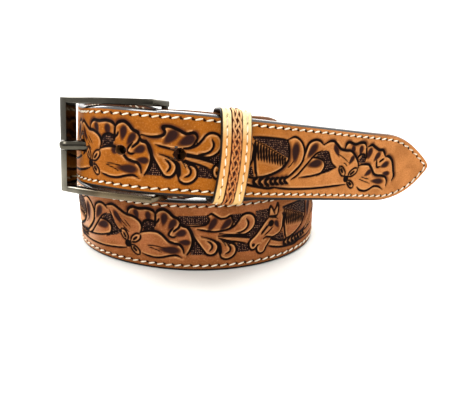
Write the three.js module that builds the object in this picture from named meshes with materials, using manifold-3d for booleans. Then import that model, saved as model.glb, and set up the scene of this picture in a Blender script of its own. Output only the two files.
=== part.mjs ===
// A tooled leather belt, buckled and coiled in two stacked turns that stand on their lower edges.
// Millimetres, +Z up. The tooled side faces outwards and the buckle end is at the front, where Y is least.

import * as THREE from 'three';
import { mergeVertices } from 'three/addons/utils/BufferGeometryUtils.js';
import Module from 'manifold-3d';

const wasm = await Module();
wasm.setup();

// Strap
const STRAP_WIDTH = 38;
const STRAP_THICKNESS = 3.2;
const EDGE_ROUNDING = 1.2;
const TIP_RADIUS = 49.5;
const TIP_LENGTH = 39;
const TIP_NOSE = 1.7;
const SECTION_STEP = 6;
const TIP_STEP = 4;
const TIP_CLOSING = [3, 1.5, 0.2];

// Buckle end of the strap, skived thin and folded round the heel bar
const FOLD_THICKNESS = 2;
const SKIVE_START = 5;
const SKIVE_END = 13;
const FLAP_LENGTH = 19;
const FLAP_STEP = 3;
const FOLD_STEPS = 10;
const LAYER_GAP = 0.35;
const PRONG_SLOT_WIDTH = 6;
const PRONG_SLOT_REACH = 8.5;
const PRONG_SLOT_DEPTH = 16;

// Punched holes, counted from the one next to the tip
const HOLE_LENGTH = 5;
const HOLE_WIDTH = 4.8;
const HOLE_SPACING = 27.8;
const HOLE_COUNT = 5;
const FIRST_HOLE_AT = 784;
const PRONG_HOLE_AT = FIRST_HOLE_AT - 2 * HOLE_SPACING;
const PRONG_HOLE_LENGTH = 9.4;
const PRONG_HOLE_WIDTH = 6.4;
const CUT_DEPTH = 7;

// Buckle frame: an upright ring with deep arms and its heel bar set back behind the strap
const FRAME_LENGTH = 53.8;
const FRAME_HEIGHT = 45.8;
const FRAME_OPENING = 39.9;
const FRAME_DEPTH = 6.2;
const FRAME_BULGE = 2.4;
const FRONT_BAR_WIDTH = 4.4;
const HEEL_BAR_SIZE = 3;
const HEEL_SETBACK = 11.5;
const HEEL_LUG = 2;
const BAR_INTO_ARM = 1;
const ARM_STEPS = 10;
const ARM_BACK_START = 14;
const ARM_BACK_STEP = 5.5;
const FRAME_BEVEL = 0.4;
const FRAME_YAW = -25.9;
const FRAME_SLOPE = 2.3;
const FRAME_LEAN = -9.6;
const RUNNING_GAP = 0.5;

// Prong
const PRONG_WIDTH = 5;
const PRONG_THICKNESS = 2.4;
const PRONG_LOOP_WALL = 1.5;
const PRONG_STEPS = 30;
const PRONG_END_TAPER = 0.75;

// Keeper
const KEEPER_WIDTH = 15;
const KEEPER_WALL = 1.9;
const KEEPER_INNER_DEPTH = 9.1;
const KEEPER_INNER_HEIGHT = 40.2;
const KEEPER_INNER_CORNER = 2;
const KEEPER_ROUNDING = 0.4;
const KEEPER_AT = 806.5;
const KEEPER_FRONT_PLAY = 0.7;
const KEEPER_RISE = 0.6;
const KEEPER_TWIST = 1.5;

// Where the buckle end starts, and which way the strap runs there
const START_X = -46.2;
const START_Y = -61.6;
const START_HEADING = -9;

// The strap's way round, from the heel bar to the tip. `at` is the distance along the strap, `bend` is
// how fast it turns left in degrees per 100 mm, `height` is its lower edge's height and `lean` is how
// far its top leans out from upright in degrees.
const STATIONS = [
  { name: 'heel bar', at: 0, bend: 136, height: 44.5, lean: -9.9 },
  { name: 'behind the tail', at: 8, bend: 107, height: 44.3, lean: -10 },
  { name: 'into the keeper', at: 24, bend: 78, height: 42.8, lean: -10 },
  { name: 'out of the keeper', at: 36, bend: 56, height: 40.9, lean: -10 },
  { name: 'leaving the tail', at: 48, bend: 246.4, height: 39.8, lean: -8.9 },
  { name: 'right front, inner turn', at: 58, bend: 107.2, height: 38.4, lean: -8.1 },
  { name: 'starts to come down', at: 70, bend: 58, height: 35.7, lean: -6.6 },
  { name: 'right side, inner turn', at: 84, bend: 84.3, height: 31.8, lean: -4.8 },
  { name: 'right side, coming down', at: 104, bend: 114, height: 25.9, lean: -2.6 },
  { name: 'right back, inner turn', at: 133, bend: 105.9, height: 17.6, lean: 0 },
  { name: 'middle of the back, inner turn', at: 173, bend: 85.9, height: 7.8, lean: 0 },
  { name: 'back left, inner turn', at: 209, bend: 81.1, height: 2, lean: 0 },
  { name: 'reaches the floor', at: 239, bend: 102.5, height: 0, lean: 0 },
  { name: 'left side, lower turn', at: 269, bend: 182, height: 0, lean: 0 },
  { name: 'front left, lower turn', at: 299, bend: 100, height: 0, lean: 0 },
  { name: 'flatter front', at: 329, bend: 58, height: 0, lean: 0 },
  { name: 'middle of the front', at: 359, bend: 72, height: 0, lean: 0 },
  { name: 'front right, lower turn', at: 419, bend: 87, height: 0, lean: 0 },
  { name: 'right side, lower turn', at: 449, bend: 110, height: 0, lean: 0 },
  { name: 'leaves the floor', at: 479, bend: 91.4, height: 0.7, lean: 0 },
  { name: 'back right, outer turn', at: 539, bend: 87.4, height: 11, lean: 0 },
  { name: 'middle of the back, outer turn', at: 580, bend: 77.7, height: 20, lean: 0 },
  { name: 'back left, outer turn', at: 606, bend: 76.1, height: 25.6, lean: 0 },
  { name: 'up to the lower turn', at: 638, bend: 79.2, height: 35.2, lean: -0.6 },
  { name: 'over the lower turn', at: 654, bend: 86.7, height: 38.4, lean: -1.7 },
  { name: 'left back, upper turn', at: 672, bend: 80, height: 39.6, lean: -3.5 },
  { name: 'left side, upper turn', at: 692, bend: 48, height: 41.2, lean: -5.7 },
  { name: 'behind the front bar', at: 722, bend: 114, height: 43.1, lean: -9.3 },
  { name: 'through the frame', at: 752, bend: 111, height: 45.6, lean: -6.9 },
  { name: 'over the heel bar', at: 782, bend: 79, height: 44.5, lean: -9.1 },
  { name: 'through the keeper', at: 812, bend: 58, height: 40.7, lean: -9.1 },
  { name: 'straight tail', at: 842, bend: -6, height: 35.7, lean: -7.2 },
  { name: 'middle of the tail', at: 882, bend: -1, height: 28.8, lean: -3.2 },
  { name: 'tip', at: 941, bend: -2, height: 19, lean: 0.8 },
];

const STRAP_LENGTH = STATIONS[STATIONS.length - 1].at;

const rad = THREE.MathUtils.degToRad;
const clamp = THREE.MathUtils.clamp;
const smooth = THREE.MathUtils.smoothstep;
const vec = (x, y, z) => new THREE.Vector3(x, y, z);

function stretchOf(s) {
  let i = 0;
  while (i < STATIONS.length - 2 && s > STATIONS[i + 1].at) i += 1;
  return i;
}

// Bend and lean run straight from one station to the next.
function between(s, column) {
  const i = stretchOf(s);
  const [a, b] = [STATIONS[i], STATIONS[i + 1]];
  const t = clamp((s - a.at) / (b.at - a.at), 0, 1);
  return a[column] + (b[column] - a[column]) * t;
}

// The slope of the height curve at a station: none where it turns, so that it never dips below a station.
function heightSlope(i) {
  if (i <= 0 || i >= STATIONS.length - 1) return null;
  const before = STATIONS[i].at - STATIONS[i - 1].at;
  const after = STATIONS[i + 1].at - STATIONS[i].at;
  const rise = (STATIONS[i].height - STATIONS[i - 1].height) / before;
  const next = (STATIONS[i + 1].height - STATIONS[i].height) / after;
  if (rise * next <= 0) return 0;
  const [w1, w2] = [2 * after + before, after + 2 * before];
  return (w1 + w2) / (w1 / rise + w2 / next);
}

function heightAt(s) {
  const i = stretchOf(s);
  const [a, b] = [STATIONS[i], STATIONS[i + 1]];
  const length = b.at - a.at;
  const t = clamp((s - a.at) / length, 0, 1);
  const chord = (b.height - a.height) / length;
  const m0 = heightSlope(i) ?? chord;
  const m1 = heightSlope(i + 1) ?? chord;
  return (2 * t ** 3 - 3 * t ** 2 + 1) * a.height + (t ** 3 - 2 * t ** 2 + t) * length * m0
    + (3 * t ** 2 - 2 * t ** 3) * b.height + (t ** 3 - t ** 2) * length * m1;
}

// The lower edge of the strap's outer face, walked in 1 mm steps.
const walk = [];
{
  let heading = rad(START_HEADING);
  let [x, y] = [START_X, START_Y];
  for (let s = 0; s <= STRAP_LENGTH; s += 1) {
    const middle = Math.min(s, STRAP_LENGTH - 0.5);
    const slope = Math.atan(heightAt(middle + 0.5) - heightAt(Math.max(middle - 0.5, 0)));
    walk.push({ x, y, heading, slope });
    const turn = rad(between(s + 0.5, 'bend') / 100);
    x += Math.cos(heading + turn / 2) * Math.cos(slope);
    y += Math.sin(heading + turn / 2) * Math.cos(slope);
    heading += turn;
  }
}

// A place on the strap: the point on the outer face's lower edge, the way along, out and up the face.
function placeAt(s) {
  const i = Math.min(Math.floor(s), walk.length - 2);
  const t = s - i;
  const [a, b] = [walk[i], walk[i + 1]];
  const mix = (p, q) => p + (q - p) * t;
  const heading = mix(a.heading, b.heading);
  const slope = mix(a.slope, b.slope);
  const along = vec(Math.cos(slope) * Math.cos(heading), Math.cos(slope) * Math.sin(heading), Math.sin(slope));
  const level = vec(Math.sin(heading), -Math.cos(heading), 0);
  const up = level.clone().cross(along);
  const lean = rad(between(s, 'lean'));
  const face = up.multiplyScalar(Math.cos(lean)).addScaledVector(level, Math.sin(lean));
  const out = along.clone().cross(face).normalize();
  return { point: vec(mix(a.x, b.x), mix(a.y, b.y), heightAt(s)), along, out, up: face };
}

// One closed body through a list of rings of points, each ring the same length and running clockwise
// seen from the ring that follows it.
function loft(rings) {
  const n = rings[0].length;
  const positions = rings.flat().flatMap((p) => [p.x, p.y, p.z]);
  const index = [];
  for (let r = 0; r < rings.length - 1; r += 1) {
    for (let k = 0; k < n; k += 1) {
      const [a, b] = [r * n + k, r * n + ((k + 1) % n)];
      index.push(a, b + n, b, a, a + n, b + n);
    }
  }
  const last = (rings.length - 1) * n;
  for (let k = 1; k < n - 1; k += 1) {
    index.push(0, k, k + 1);
    index.push(last, last + k + 1, last + k);
  }
  const geometry = new THREE.BufferGeometry();
  geometry.setAttribute('position', new THREE.Float32BufferAttribute(positions, 3));
  geometry.setIndex(index);
  return geometry;
}

// Closed solids, for joining and cutting.
function toSolid(geometry) {
  const bare = geometry.clone();
  bare.deleteAttribute('normal');
  bare.deleteAttribute('uv');
  const merged = mergeVertices(bare, 1e-4);
  return new wasm.Manifold(new wasm.Mesh({
    numProp: 3,
    vertProperties: new Float32Array(merged.attributes.position.array),
    triVerts: new Uint32Array(merged.index.array),
  }));
}

function toGeometry(solid) {
  const mesh = solid.getMesh();
  const geometry = new THREE.BufferGeometry();
  geometry.setAttribute('position', new THREE.Float32BufferAttribute(mesh.vertProperties, 3));
  geometry.setIndex(new THREE.Uint32BufferAttribute(mesh.triVerts, 1));
  return geometry;
}

// A strap section: two flat faces with rounded edges, between the heights low and high up the face.
function section(place, low, high, thickness) {
  const rounding = Math.min(EDGE_ROUNDING, thickness / 2 - 0.05, (high - low) / 2 - 0.05);
  const ring = [];
  const corner = (depth, height, from) => {
    for (let k = 0; k <= 2; k += 1) {
      const angle = rad(from + 45 * k);
      const d = depth + rounding * Math.cos(angle);
      const h = height + rounding * Math.sin(angle);
      ring.push(place.point.clone().addScaledVector(place.out, d).addScaledVector(place.up, h));
    }
  };
  corner(-rounding, high - rounding, 0);
  corner(-thickness + rounding, high - rounding, 90);
  corner(-thickness + rounding, low + rounding, 180);
  corner(-rounding, low + rounding, 270);
  return ring;
}

// Half the strap's width, less towards the pointed tip, whose sides are arcs.
function halfWidth(s) {
  const past = s - (STRAP_LENGTH - TIP_LENGTH);
  if (past <= 0) return STRAP_WIDTH / 2;
  const inward = TIP_RADIUS - Math.sqrt(TIP_RADIUS ** 2 - past ** 2);
  return Math.max(STRAP_WIDTH / 2 - inward, TIP_NOSE);
}

const FOLD_RADIUS = HEEL_BAR_SIZE / 2 + RUNNING_GAP + FOLD_THICKNESS;
const heel = placeAt(0);
const heelAxis = heel.point.clone().addScaledVector(heel.out, -FOLD_RADIUS);
const heelMiddle = heelAxis.clone().addScaledVector(heel.up, STRAP_WIDTH / 2);

// The skived fold: its flap runs back behind the belt, then the strap turns round the heel bar.
function foldedEnd() {
  const rings = [];
  const flapDepth = (s) => {
    const wide = 2 * FOLD_RADIUS;
    const close = STRAP_THICKNESS + LAYER_GAP + FOLD_THICKNESS;
    return wide + (close - wide) * smooth(s, SKIVE_START, SKIVE_END);
  };
  for (let s = FLAP_LENGTH; s >= 0; s -= FLAP_STEP) {
    const belt = placeAt(s);
    const place = {
      point: belt.point.clone().addScaledVector(belt.out, -flapDepth(s)),
      out: belt.out.clone().negate(),
      up: belt.up,
    };
    rings.push(section(place, 0, STRAP_WIDTH, FOLD_THICKNESS));
  }
  for (let k = 1; k < FOLD_STEPS; k += 1) {
    const angle = Math.PI * (1 - k / FOLD_STEPS);
    const out = heel.out.clone().multiplyScalar(Math.cos(angle)).addScaledVector(heel.along, -Math.sin(angle));
    const place = { point: heelAxis.clone().addScaledVector(out, FOLD_RADIUS), out, up: heel.up };
    rings.push(section(place, 0, STRAP_WIDTH, FOLD_THICKNESS));
  }
  return rings;
}

function strapRings() {
  const rings = foldedEnd();
  const tipStart = STRAP_LENGTH - TIP_LENGTH;
  const stops = [];
  for (let s = 0; s < SKIVE_END; s += FLAP_STEP) stops.push(s);
  for (let s = SKIVE_END + FLAP_STEP; s < tipStart; s += SECTION_STEP) stops.push(s);
  for (let s = tipStart; s < STRAP_LENGTH - TIP_CLOSING[0]; s += TIP_STEP) stops.push(s);
  for (const left of TIP_CLOSING) stops.push(STRAP_LENGTH - left);
  for (const s of stops) {
    const half = halfWidth(s);
    const thickness = FOLD_THICKNESS
      + (STRAP_THICKNESS - FOLD_THICKNESS) * smooth(s, SKIVE_START, SKIVE_END);
    rings.push(section(placeAt(s), STRAP_WIDTH / 2 - half, STRAP_WIDTH / 2 + half, thickness));
  }
  return rings;
}

// A slot with round ends, cut straight in from the outer face at s.
function slotCutter(s, length, width) {
  const place = placeAt(s);
  const half = length / 2 - width / 2;
  const shape = new THREE.Shape();
  shape.absarc(half, 0, width / 2, -Math.PI / 2, Math.PI / 2);
  shape.absarc(-half, 0, width / 2, Math.PI / 2, (3 * Math.PI) / 2);
  const cutter = new THREE.ExtrudeGeometry(shape, { depth: CUT_DEPTH, bevelEnabled: false, curveSegments: 8 });
  cutter.translate(0, 0, -CUT_DEPTH / 2);
  const basis = new THREE.Matrix4().makeBasis(place.along, place.up, place.out);
  const middle = place.point.clone().addScaledVector(place.up, STRAP_WIDTH / 2);
  basis.setPosition(middle.addScaledVector(place.out, -STRAP_THICKNESS / 2));
  cutter.applyMatrix4(basis);
  return toSolid(cutter);
}

function strapSolid() {
  let strap = toSolid(loft(strapRings()));
  for (let k = 0; k < HOLE_COUNT; k += 1) {
    const at = FIRST_HOLE_AT - k * HOLE_SPACING;
    if (at !== PRONG_HOLE_AT) {
      strap = strap.subtract(slotCutter(at, HOLE_LENGTH, HOLE_WIDTH));
    }
  }
  strap = strap.subtract(slotCutter(PRONG_HOLE_AT, PRONG_HOLE_LENGTH, PRONG_HOLE_WIDTH));
  const slot = new THREE.BoxGeometry(2 * PRONG_SLOT_REACH, PRONG_SLOT_WIDTH, PRONG_SLOT_DEPTH);
  const basis = new THREE.Matrix4().makeBasis(heel.along, heel.up, heel.out);
  basis.setPosition(heelMiddle);
  slot.applyMatrix4(basis);
  return strap.subtract(toSolid(slot));
}

// The buckle's own axes: x towards the heel, y up the frame and z out of its front.
const buckleX = vec(
  Math.cos(rad(FRAME_SLOPE)) * Math.cos(rad(FRAME_YAW)),
  Math.cos(rad(FRAME_SLOPE)) * Math.sin(rad(FRAME_YAW)),
  Math.sin(rad(FRAME_SLOPE)),
);
const buckleLevel = vec(Math.sin(rad(FRAME_YAW)), -Math.cos(rad(FRAME_YAW)), 0);
const buckleY = buckleLevel.clone().cross(buckleX)
  .multiplyScalar(Math.cos(rad(FRAME_LEAN)))
  .addScaledVector(buckleLevel, Math.sin(rad(FRAME_LEAN)))
  .normalize();
const buckleZ = buckleX.clone().cross(buckleY);
const heelX = (FRAME_LENGTH - HEEL_BAR_SIZE) / 2;
const buckleMatrix = new THREE.Matrix4().makeBasis(buckleX, buckleY, buckleZ);
buckleMatrix.setPosition(
  heelMiddle.clone().addScaledVector(buckleX, -heelX).addScaledVector(buckleZ, HEEL_SETBACK),
);

// An outline in the buckle's x and z, made solid between two heights y.
function slab(outline, from, to, bevel) {
  const shape = new THREE.Shape(outline.map(([x, z]) => new THREE.Vector2(x, -z)));
  const depth = to - from - 2 * bevel;
  const options = { depth, bevelEnabled: bevel > 0, bevelSegments: 1, bevelThickness: bevel, bevelSize: bevel };
  if (bevel > 0) options.bevelOffset = -bevel;
  const geometry = new THREE.ExtrudeGeometry(shape, options);
  geometry.rotateX(-Math.PI / 2);
  geometry.translate(0, from + bevel, 0);
  return toSolid(geometry);
}

// How far the front of the frame stands out at x: a low arch over its length.
function frontOf(x) {
  return FRAME_BULGE * (1 - (2 * x / FRAME_LENGTH) ** 2);
}

// An upright bar's section in the buckle's x and z: a regular octagon.
function octagon(half, x, z) {
  const cut = (2 - Math.SQRT2) * half;
  return [
    [-half + cut, -half], [half - cut, -half], [half, -half + cut], [half, half - cut],
    [half - cut, half], [-half + cut, half], [-half, half - cut], [-half, -half + cut],
  ].map(([a, b]) => [a + x, b + z]);
}

function armOutline() {
  const half = FRAME_LENGTH / 2;
  const outline = [];
  for (let k = 0; k <= ARM_STEPS; k += 1) {
    const x = -half + (FRAME_LENGTH * k) / ARM_STEPS;
    outline.push([x, frontOf(x)]);
  }
  const back = -(HEEL_SETBACK + HEEL_BAR_SIZE / 2);
  outline.push([half, back], [half - HEEL_BAR_SIZE - HEEL_LUG, back]);
  for (let x = half - ARM_BACK_START; x > -half; x -= ARM_BACK_STEP) {
    outline.push([x, frontOf(x) - FRAME_DEPTH]);
  }
  outline.push([-half, -FRAME_DEPTH]);
  return outline;
}

function frameSolid() {
  const half = FRAME_LENGTH / 2;
  const top = FRAME_HEIGHT / 2;
  const inner = FRAME_OPENING / 2;
  const arm = armOutline();
  const left = -half + FRONT_BAR_WIDTH;
  const frontBar = [[-half, 0], [left, frontOf(left)], [left, -FRAME_DEPTH], [-half, -FRAME_DEPTH]];
  const heelBar = octagon(HEEL_BAR_SIZE / 2, heelX, -HEEL_SETBACK);
  return slab(arm, inner, top, FRAME_BEVEL)
    .add(slab(arm, -top, -inner, FRAME_BEVEL))
    .add(slab(frontBar, -top + FRAME_BEVEL, top - FRAME_BEVEL, 0))
    .add(slab(heelBar, -inner - BAR_INTO_ARM, inner + BAR_INTO_ARM, 0));
}

// The prong's line in the buckle's x and z: behind the strap, up through its hole, over the front bar.
const PRONG_LINE = [
  { x: 22.6, z: -9.8 },
  { x: 19, z: -6.7 },
  { x: 14, z: -4.1 },
  { x: 8, z: -2.8 },
  { x: 2, z: -2.9 },
  { x: -4, z: -4.3 },
  { x: -8, z: -5.8 },
  { x: -11.5, z: -7 },
  { x: -14.6, z: -6 },
  { x: -17.3, z: -3.8 },
  { x: -19.3, z: -0.8 },
  { x: -21.2, z: 1.9 },
  { x: -23, z: 2.9 },
  { x: -25.7, z: 2.6 },
];

// The prong's section, flat behind and rounded in front, as parts of half its width and thickness.
const PRONG_SECTION = [
  { across: -1, front: -1 },
  { across: 1, front: -1 },
  { across: 1, front: -0.2 },
  { across: 0.75, front: 0.65 },
  { across: 0.3, front: 1 },
  { across: -0.3, front: 1 },
  { across: -0.75, front: 0.65 },
  { across: -1, front: -0.2 },
];

function prongSolid() {
  const line = new THREE.CatmullRomCurve3(PRONG_LINE.map(({ x, z }) => vec(x, 0, z)), false, 'centripetal');
  const rings = [];
  for (let k = 0; k <= PRONG_STEPS; k += 1) {
    const t = k / PRONG_STEPS;
    const p = line.getPointAt(t);
    const along = line.getTangentAt(t);
    const front = vec(-along.z, 0, along.x).normalize();
    if (front.z < 0) front.negate();
    const taper = k === PRONG_STEPS ? PRONG_END_TAPER : 1;
    const [w, h] = [PRONG_WIDTH / 2 * taper, PRONG_THICKNESS / 2 * taper];
    rings.push(PRONG_SECTION.map((row) => (
      p.clone().addScaledVector(front, h * row.front).add(vec(0, w * row.across, 0))
    )));
  }
  const shaft = toSolid(loft(rings));
  const tunnelHalf = HEEL_BAR_SIZE / 2 + RUNNING_GAP;
  const tunnel = slab(octagon(tunnelHalf, heelX, -HEEL_SETBACK), -PRONG_WIDTH, PRONG_WIDTH, 0);
  const loop = slab(octagon(tunnelHalf + PRONG_LOOP_WALL, heelX, -HEEL_SETBACK), -PRONG_WIDTH / 2,
    PRONG_WIDTH / 2, 0).subtract(tunnel);
  return shaft.subtract(tunnel).add(loop);
}

// The keeper: a flat ring with rounded corners, round the tail and the belt behind it.
function keeperSolid() {
  const place = placeAt(KEEPER_AT);
  const ring = (target, width, height, radius) => {
    const [a, b] = [width / 2 - radius, height / 2 - radius];
    target.absarc(a, b, radius, 0, Math.PI / 2);
    target.absarc(-a, b, radius, Math.PI / 2, Math.PI);
    target.absarc(-a, -b, radius, Math.PI, 1.5 * Math.PI);
    target.absarc(a, -b, radius, 1.5 * Math.PI, 2 * Math.PI);
    return target;
  };
  const [depth, height] = [KEEPER_INNER_DEPTH, KEEPER_INNER_HEIGHT];
  const shape = ring(new THREE.Shape(), depth + 2 * KEEPER_WALL, height + 2 * KEEPER_WALL,
    KEEPER_INNER_CORNER + KEEPER_WALL);
  shape.holes.push(ring(new THREE.Path(), depth, height, KEEPER_INNER_CORNER));
  const geometry = new THREE.ExtrudeGeometry(shape, {
    depth: KEEPER_WIDTH - 2 * KEEPER_ROUNDING,
    curveSegments: 5,
    bevelSegments: 1,
    bevelThickness: KEEPER_ROUNDING,
    bevelSize: KEEPER_ROUNDING,
    bevelOffset: -KEEPER_ROUNDING,
  });
  geometry.translate(0, 0, KEEPER_ROUNDING - KEEPER_WIDTH / 2);
  geometry.rotateX(rad(KEEPER_TWIST));
  const basis = new THREE.Matrix4().makeBasis(place.out, place.up, place.along.clone().negate());
  const middle = place.point.clone().addScaledVector(place.up, STRAP_WIDTH / 2 + KEEPER_RISE);
  basis.setPosition(middle.addScaledVector(place.out, KEEPER_FRONT_PLAY - depth / 2));
  geometry.applyMatrix4(basis);
  return toSolid(geometry);
}

const materials = {
  leather: new THREE.MeshStandardMaterial({ color: 0xb4683a, roughness: 0.55, metalness: 0 }),
  keeper: new THREE.MeshStandardMaterial({ color: 0xe0b070, roughness: 0.6, metalness: 0 }),
  metal: new THREE.MeshStandardMaterial({ color: 0x55524e, roughness: 0.25, metalness: 1 }),
};

function named(name, geometry, material) {
  const mesh = new THREE.Mesh(geometry, material);
  mesh.name = name;
  return mesh;
}

const buckle = new THREE.Group();
buckle.applyMatrix4(buckleMatrix);
buckle.add(named('buckle_frame', toGeometry(frameSolid()), materials.metal));
buckle.add(named('prong', toGeometry(prongSolid()), materials.metal));

const belt = new THREE.Group();
belt.add(named('strap', toGeometry(strapSolid()), materials.leather));
belt.add(named('keeper', toGeometry(keeperSolid()), materials.keeper));
belt.add(buckle);

export default belt;
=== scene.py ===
"""A tooled leather belt, buckled and coiled in two stacked turns, with white stitching, painted edges,
a braided keeper and a dark metal buckle."""

import math
from collections import namedtuple

import bmesh
import bpy
import numpy as np
from mathutils import Matrix, Vector


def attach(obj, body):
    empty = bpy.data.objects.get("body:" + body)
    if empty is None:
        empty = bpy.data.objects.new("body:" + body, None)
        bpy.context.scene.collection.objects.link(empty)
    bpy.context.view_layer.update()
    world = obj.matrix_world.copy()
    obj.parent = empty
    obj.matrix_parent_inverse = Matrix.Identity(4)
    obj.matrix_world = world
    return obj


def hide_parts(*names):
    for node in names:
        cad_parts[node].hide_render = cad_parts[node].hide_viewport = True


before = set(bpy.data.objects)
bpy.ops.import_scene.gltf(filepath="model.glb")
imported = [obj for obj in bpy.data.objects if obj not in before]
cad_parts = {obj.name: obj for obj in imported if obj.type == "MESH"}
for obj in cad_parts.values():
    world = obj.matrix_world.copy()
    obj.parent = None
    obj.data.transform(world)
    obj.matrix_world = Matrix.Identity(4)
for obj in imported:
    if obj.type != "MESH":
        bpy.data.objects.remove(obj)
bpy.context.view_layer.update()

MM = 0.001
SEAM = 0.001 * MM

# Strap, in mm
STRAP_WIDTH = 38
STRAP_THICKNESS = 3.2
EDGE_ROUNDING = 1.3
TIP_RADIUS = 49.5
TIP_LENGTH = 38.1
NOSE_RADIUS = 4.5
TIP_SKEW = 2.8
SKEW_LENGTH = 16
FOLD_THICKNESS = 2
SKIVE_START = 5
SKIVE_END = 13
FLAP_LENGTH = 19
LAYER_GAP = 0.35
HEEL_BAR_SIZE = 3
RUNNING_GAP = 0.5
FOLD_RADIUS = HEEL_BAR_SIZE / 2 + RUNNING_GAP + FOLD_THICKNESS
PRONG_SLOT = (17, 6)

# The fold's columns: how many there are, and how far before the heel bar the fold starts to count
FOLD_STEPS = 14
FOLD_COUNT = 12

# Punched holes: distance along the strap, length and width. The prong stands in the third.
Hole = namedtuple("Hole", "at length width")
HOLES = [
    Hole(784.0, 5.0, 4.8),
    Hole(756.8, 3.0, 4.2),
    Hole(728.4, 9.2, 5.5),
    Hole(700.6, 5.0, 4.8),
    Hole(672.8, 5.0, 4.8),
]
HOLE_SIDES = 32
CUTTER_DEPTH = 7
SLOT_CUTTER_DEPTH = 16

# Where the buckle end starts, and which way the strap runs there
START_X = -46.2
START_Y = -61.6
START_HEADING = -9

# The strap's way round, from the heel bar to the tip: distance along, how fast it bends left in degrees
# for each 100 mm, the height of its lower edge, and how far its top leans out in degrees.
Station = namedtuple("Station", "name at bend height lean")
STATIONS = [
    Station("heel bar", 0, 136, 44.5, -9.9),
    Station("behind the tail", 8, 107, 44.3, -10),
    Station("into the keeper", 24, 78, 42.8, -10),
    Station("out of the keeper", 36, 56, 40.9, -10),
    Station("leaving the tail", 48, 246.4, 39.8, -8.9),
    Station("right front, inner turn", 58, 107.2, 38.4, -8.1),
    Station("starts to come down", 70, 58, 35.7, -6.6),
    Station("right side, inner turn", 84, 84.3, 31.8, -4.8),
    Station("right side, coming down", 104, 114, 25.9, -2.6),
    Station("right back, inner turn", 133, 105.9, 17.6, 0),
    Station("middle of the back, inner turn", 173, 85.9, 7.8, 0),
    Station("back left, inner turn", 209, 81.1, 2, 0),
    Station("reaches the floor", 239, 102.5, 0, 0),
    Station("left side, lower turn", 269, 182, 0, 0),
    Station("front left, lower turn", 299, 100, 0, 0),
    Station("flatter front", 329, 58, 0, 0),
    Station("middle of the front", 359, 72, 0, 0),
    Station("front right, lower turn", 419, 87, 0, 0),
    Station("right side, lower turn", 449, 110, 0, 0),
    Station("leaves the floor", 479, 91.4, 0.7, 0),
    Station("back right, outer turn", 539, 87.4, 11, 0),
    Station("middle of the back, outer turn", 580, 77.7, 20, 0),
    Station("back left, outer turn", 606, 76.1, 25.6, 0),
    Station("up to the lower turn", 638, 79.2, 35.2, -0.6),
    Station("over the lower turn", 654, 86.7, 38.4, -1.7),
    Station("left back, upper turn", 672, 80, 39.6, -3.5),
    Station("left side, upper turn", 692, 48, 41.2, -5.7),
    Station("behind the front bar", 722, 114, 43.1, -9.3),
    Station("through the frame", 752, 111, 45.6, -6.9),
    Station("over the heel bar", 782, 79, 44.5, -9.1),
    Station("through the keeper", 812, 58, 40.7, -9.1),
    Station("straight tail", 842, -6, 35.7, -7.2),
    Station("middle of the tail", 882, -1, 28.8, -3.2),
    Station("tip", 941, -2, 19, 0.8),
]
STRAP_LENGTH = STATIONS[-1].at

# The tip's nose: an arc that touches both sides of the point
TIP_START = STRAP_LENGTH - TIP_LENGTH
SIDE_DROP = TIP_RADIUS - STRAP_WIDTH / 2
NOSE_CENTRE = TIP_START + math.sqrt((TIP_RADIUS - NOSE_RADIUS) ** 2 - SIDE_DROP**2)
NOSE_ANGLE = math.acos(SIDE_DROP / (TIP_RADIUS - NOSE_RADIUS))
NOSE_START = NOSE_CENTRE + NOSE_RADIUS * math.sin(NOSE_ANGLE)
NOSE_COLUMNS = 10
LEAST_HALF_WIDTH = 0.12

# Columns of the strap's mesh: closer together where the tooling shows at the front
FINE_STRETCHES = [(284, 448), (714, 941)]
FINE_STEP = 0.5
PLAIN_STEP = 1.2
HIDDEN_STEP = 2.0
HIDDEN_TO = 240
FACE_ROWS = 56
EDGE_STEPS = 3
BACK_ROWS = 4


def station_column(name):
    return np.array([getattr(s, name) for s in STATIONS], float)


STATION_AT = station_column("at")


def height_slopes():
    """The height curve's slope at each station: none where it turns, so that it never dips below one."""
    gaps = np.diff(STATION_AT)
    rises = np.diff(station_column("height")) / gaps
    slopes = np.concatenate([rises[:1], np.zeros(len(rises) - 1), rises[-1:]])
    for i in range(1, len(STATIONS) - 1):
        if rises[i - 1] * rises[i] > 0:
            before, after = gaps[i - 1], gaps[i]
            w1, w2 = 2 * after + before, after + 2 * before
            slopes[i] = (w1 + w2) / (w1 / rises[i - 1] + w2 / rises[i])
    return slopes


HEIGHT_SLOPES = height_slopes()


def height_at(s):
    i = np.clip(np.searchsorted(STATION_AT, s) - 1, 0, len(STATIONS) - 2)
    length = STATION_AT[i + 1] - STATION_AT[i]
    t = np.clip((s - STATION_AT[i]) / length, 0, 1)
    heights = station_column("height")
    return (
        (2 * t**3 - 3 * t**2 + 1) * heights[i]
        + (t**3 - 2 * t**2 + t) * length * HEIGHT_SLOPES[i]
        + (3 * t**2 - 2 * t**3) * heights[i + 1]
        + (t**3 - t**2) * length * HEIGHT_SLOPES[i + 1]
    )


def walk_strap():
    """The lower edge of the strap's outer face in 1 mm steps: x, y, heading and slope."""
    steps = np.arange(0, STRAP_LENGTH + 1)
    middles = np.minimum(steps, STRAP_LENGTH - 0.5)
    slopes = np.arctan(height_at(middles + 0.5) - height_at(np.maximum(middles - 0.5, 0)))
    turns = np.radians(np.interp(steps + 0.5, STATION_AT, station_column("bend")) / 100)
    x, y, heading = START_X, START_Y, math.radians(START_HEADING)
    rows = []
    for slope, turn in zip(slopes, turns):
        rows.append((x, y, heading, slope))
        x += math.cos(heading + turn / 2) * math.cos(slope)
        y += math.sin(heading + turn / 2) * math.cos(slope)
        heading += turn
    return steps, np.array(rows)


WALK_AT, WALK = walk_strap()


def unit(vectors):
    return vectors / np.linalg.norm(vectors, axis=-1, keepdims=True)


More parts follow.
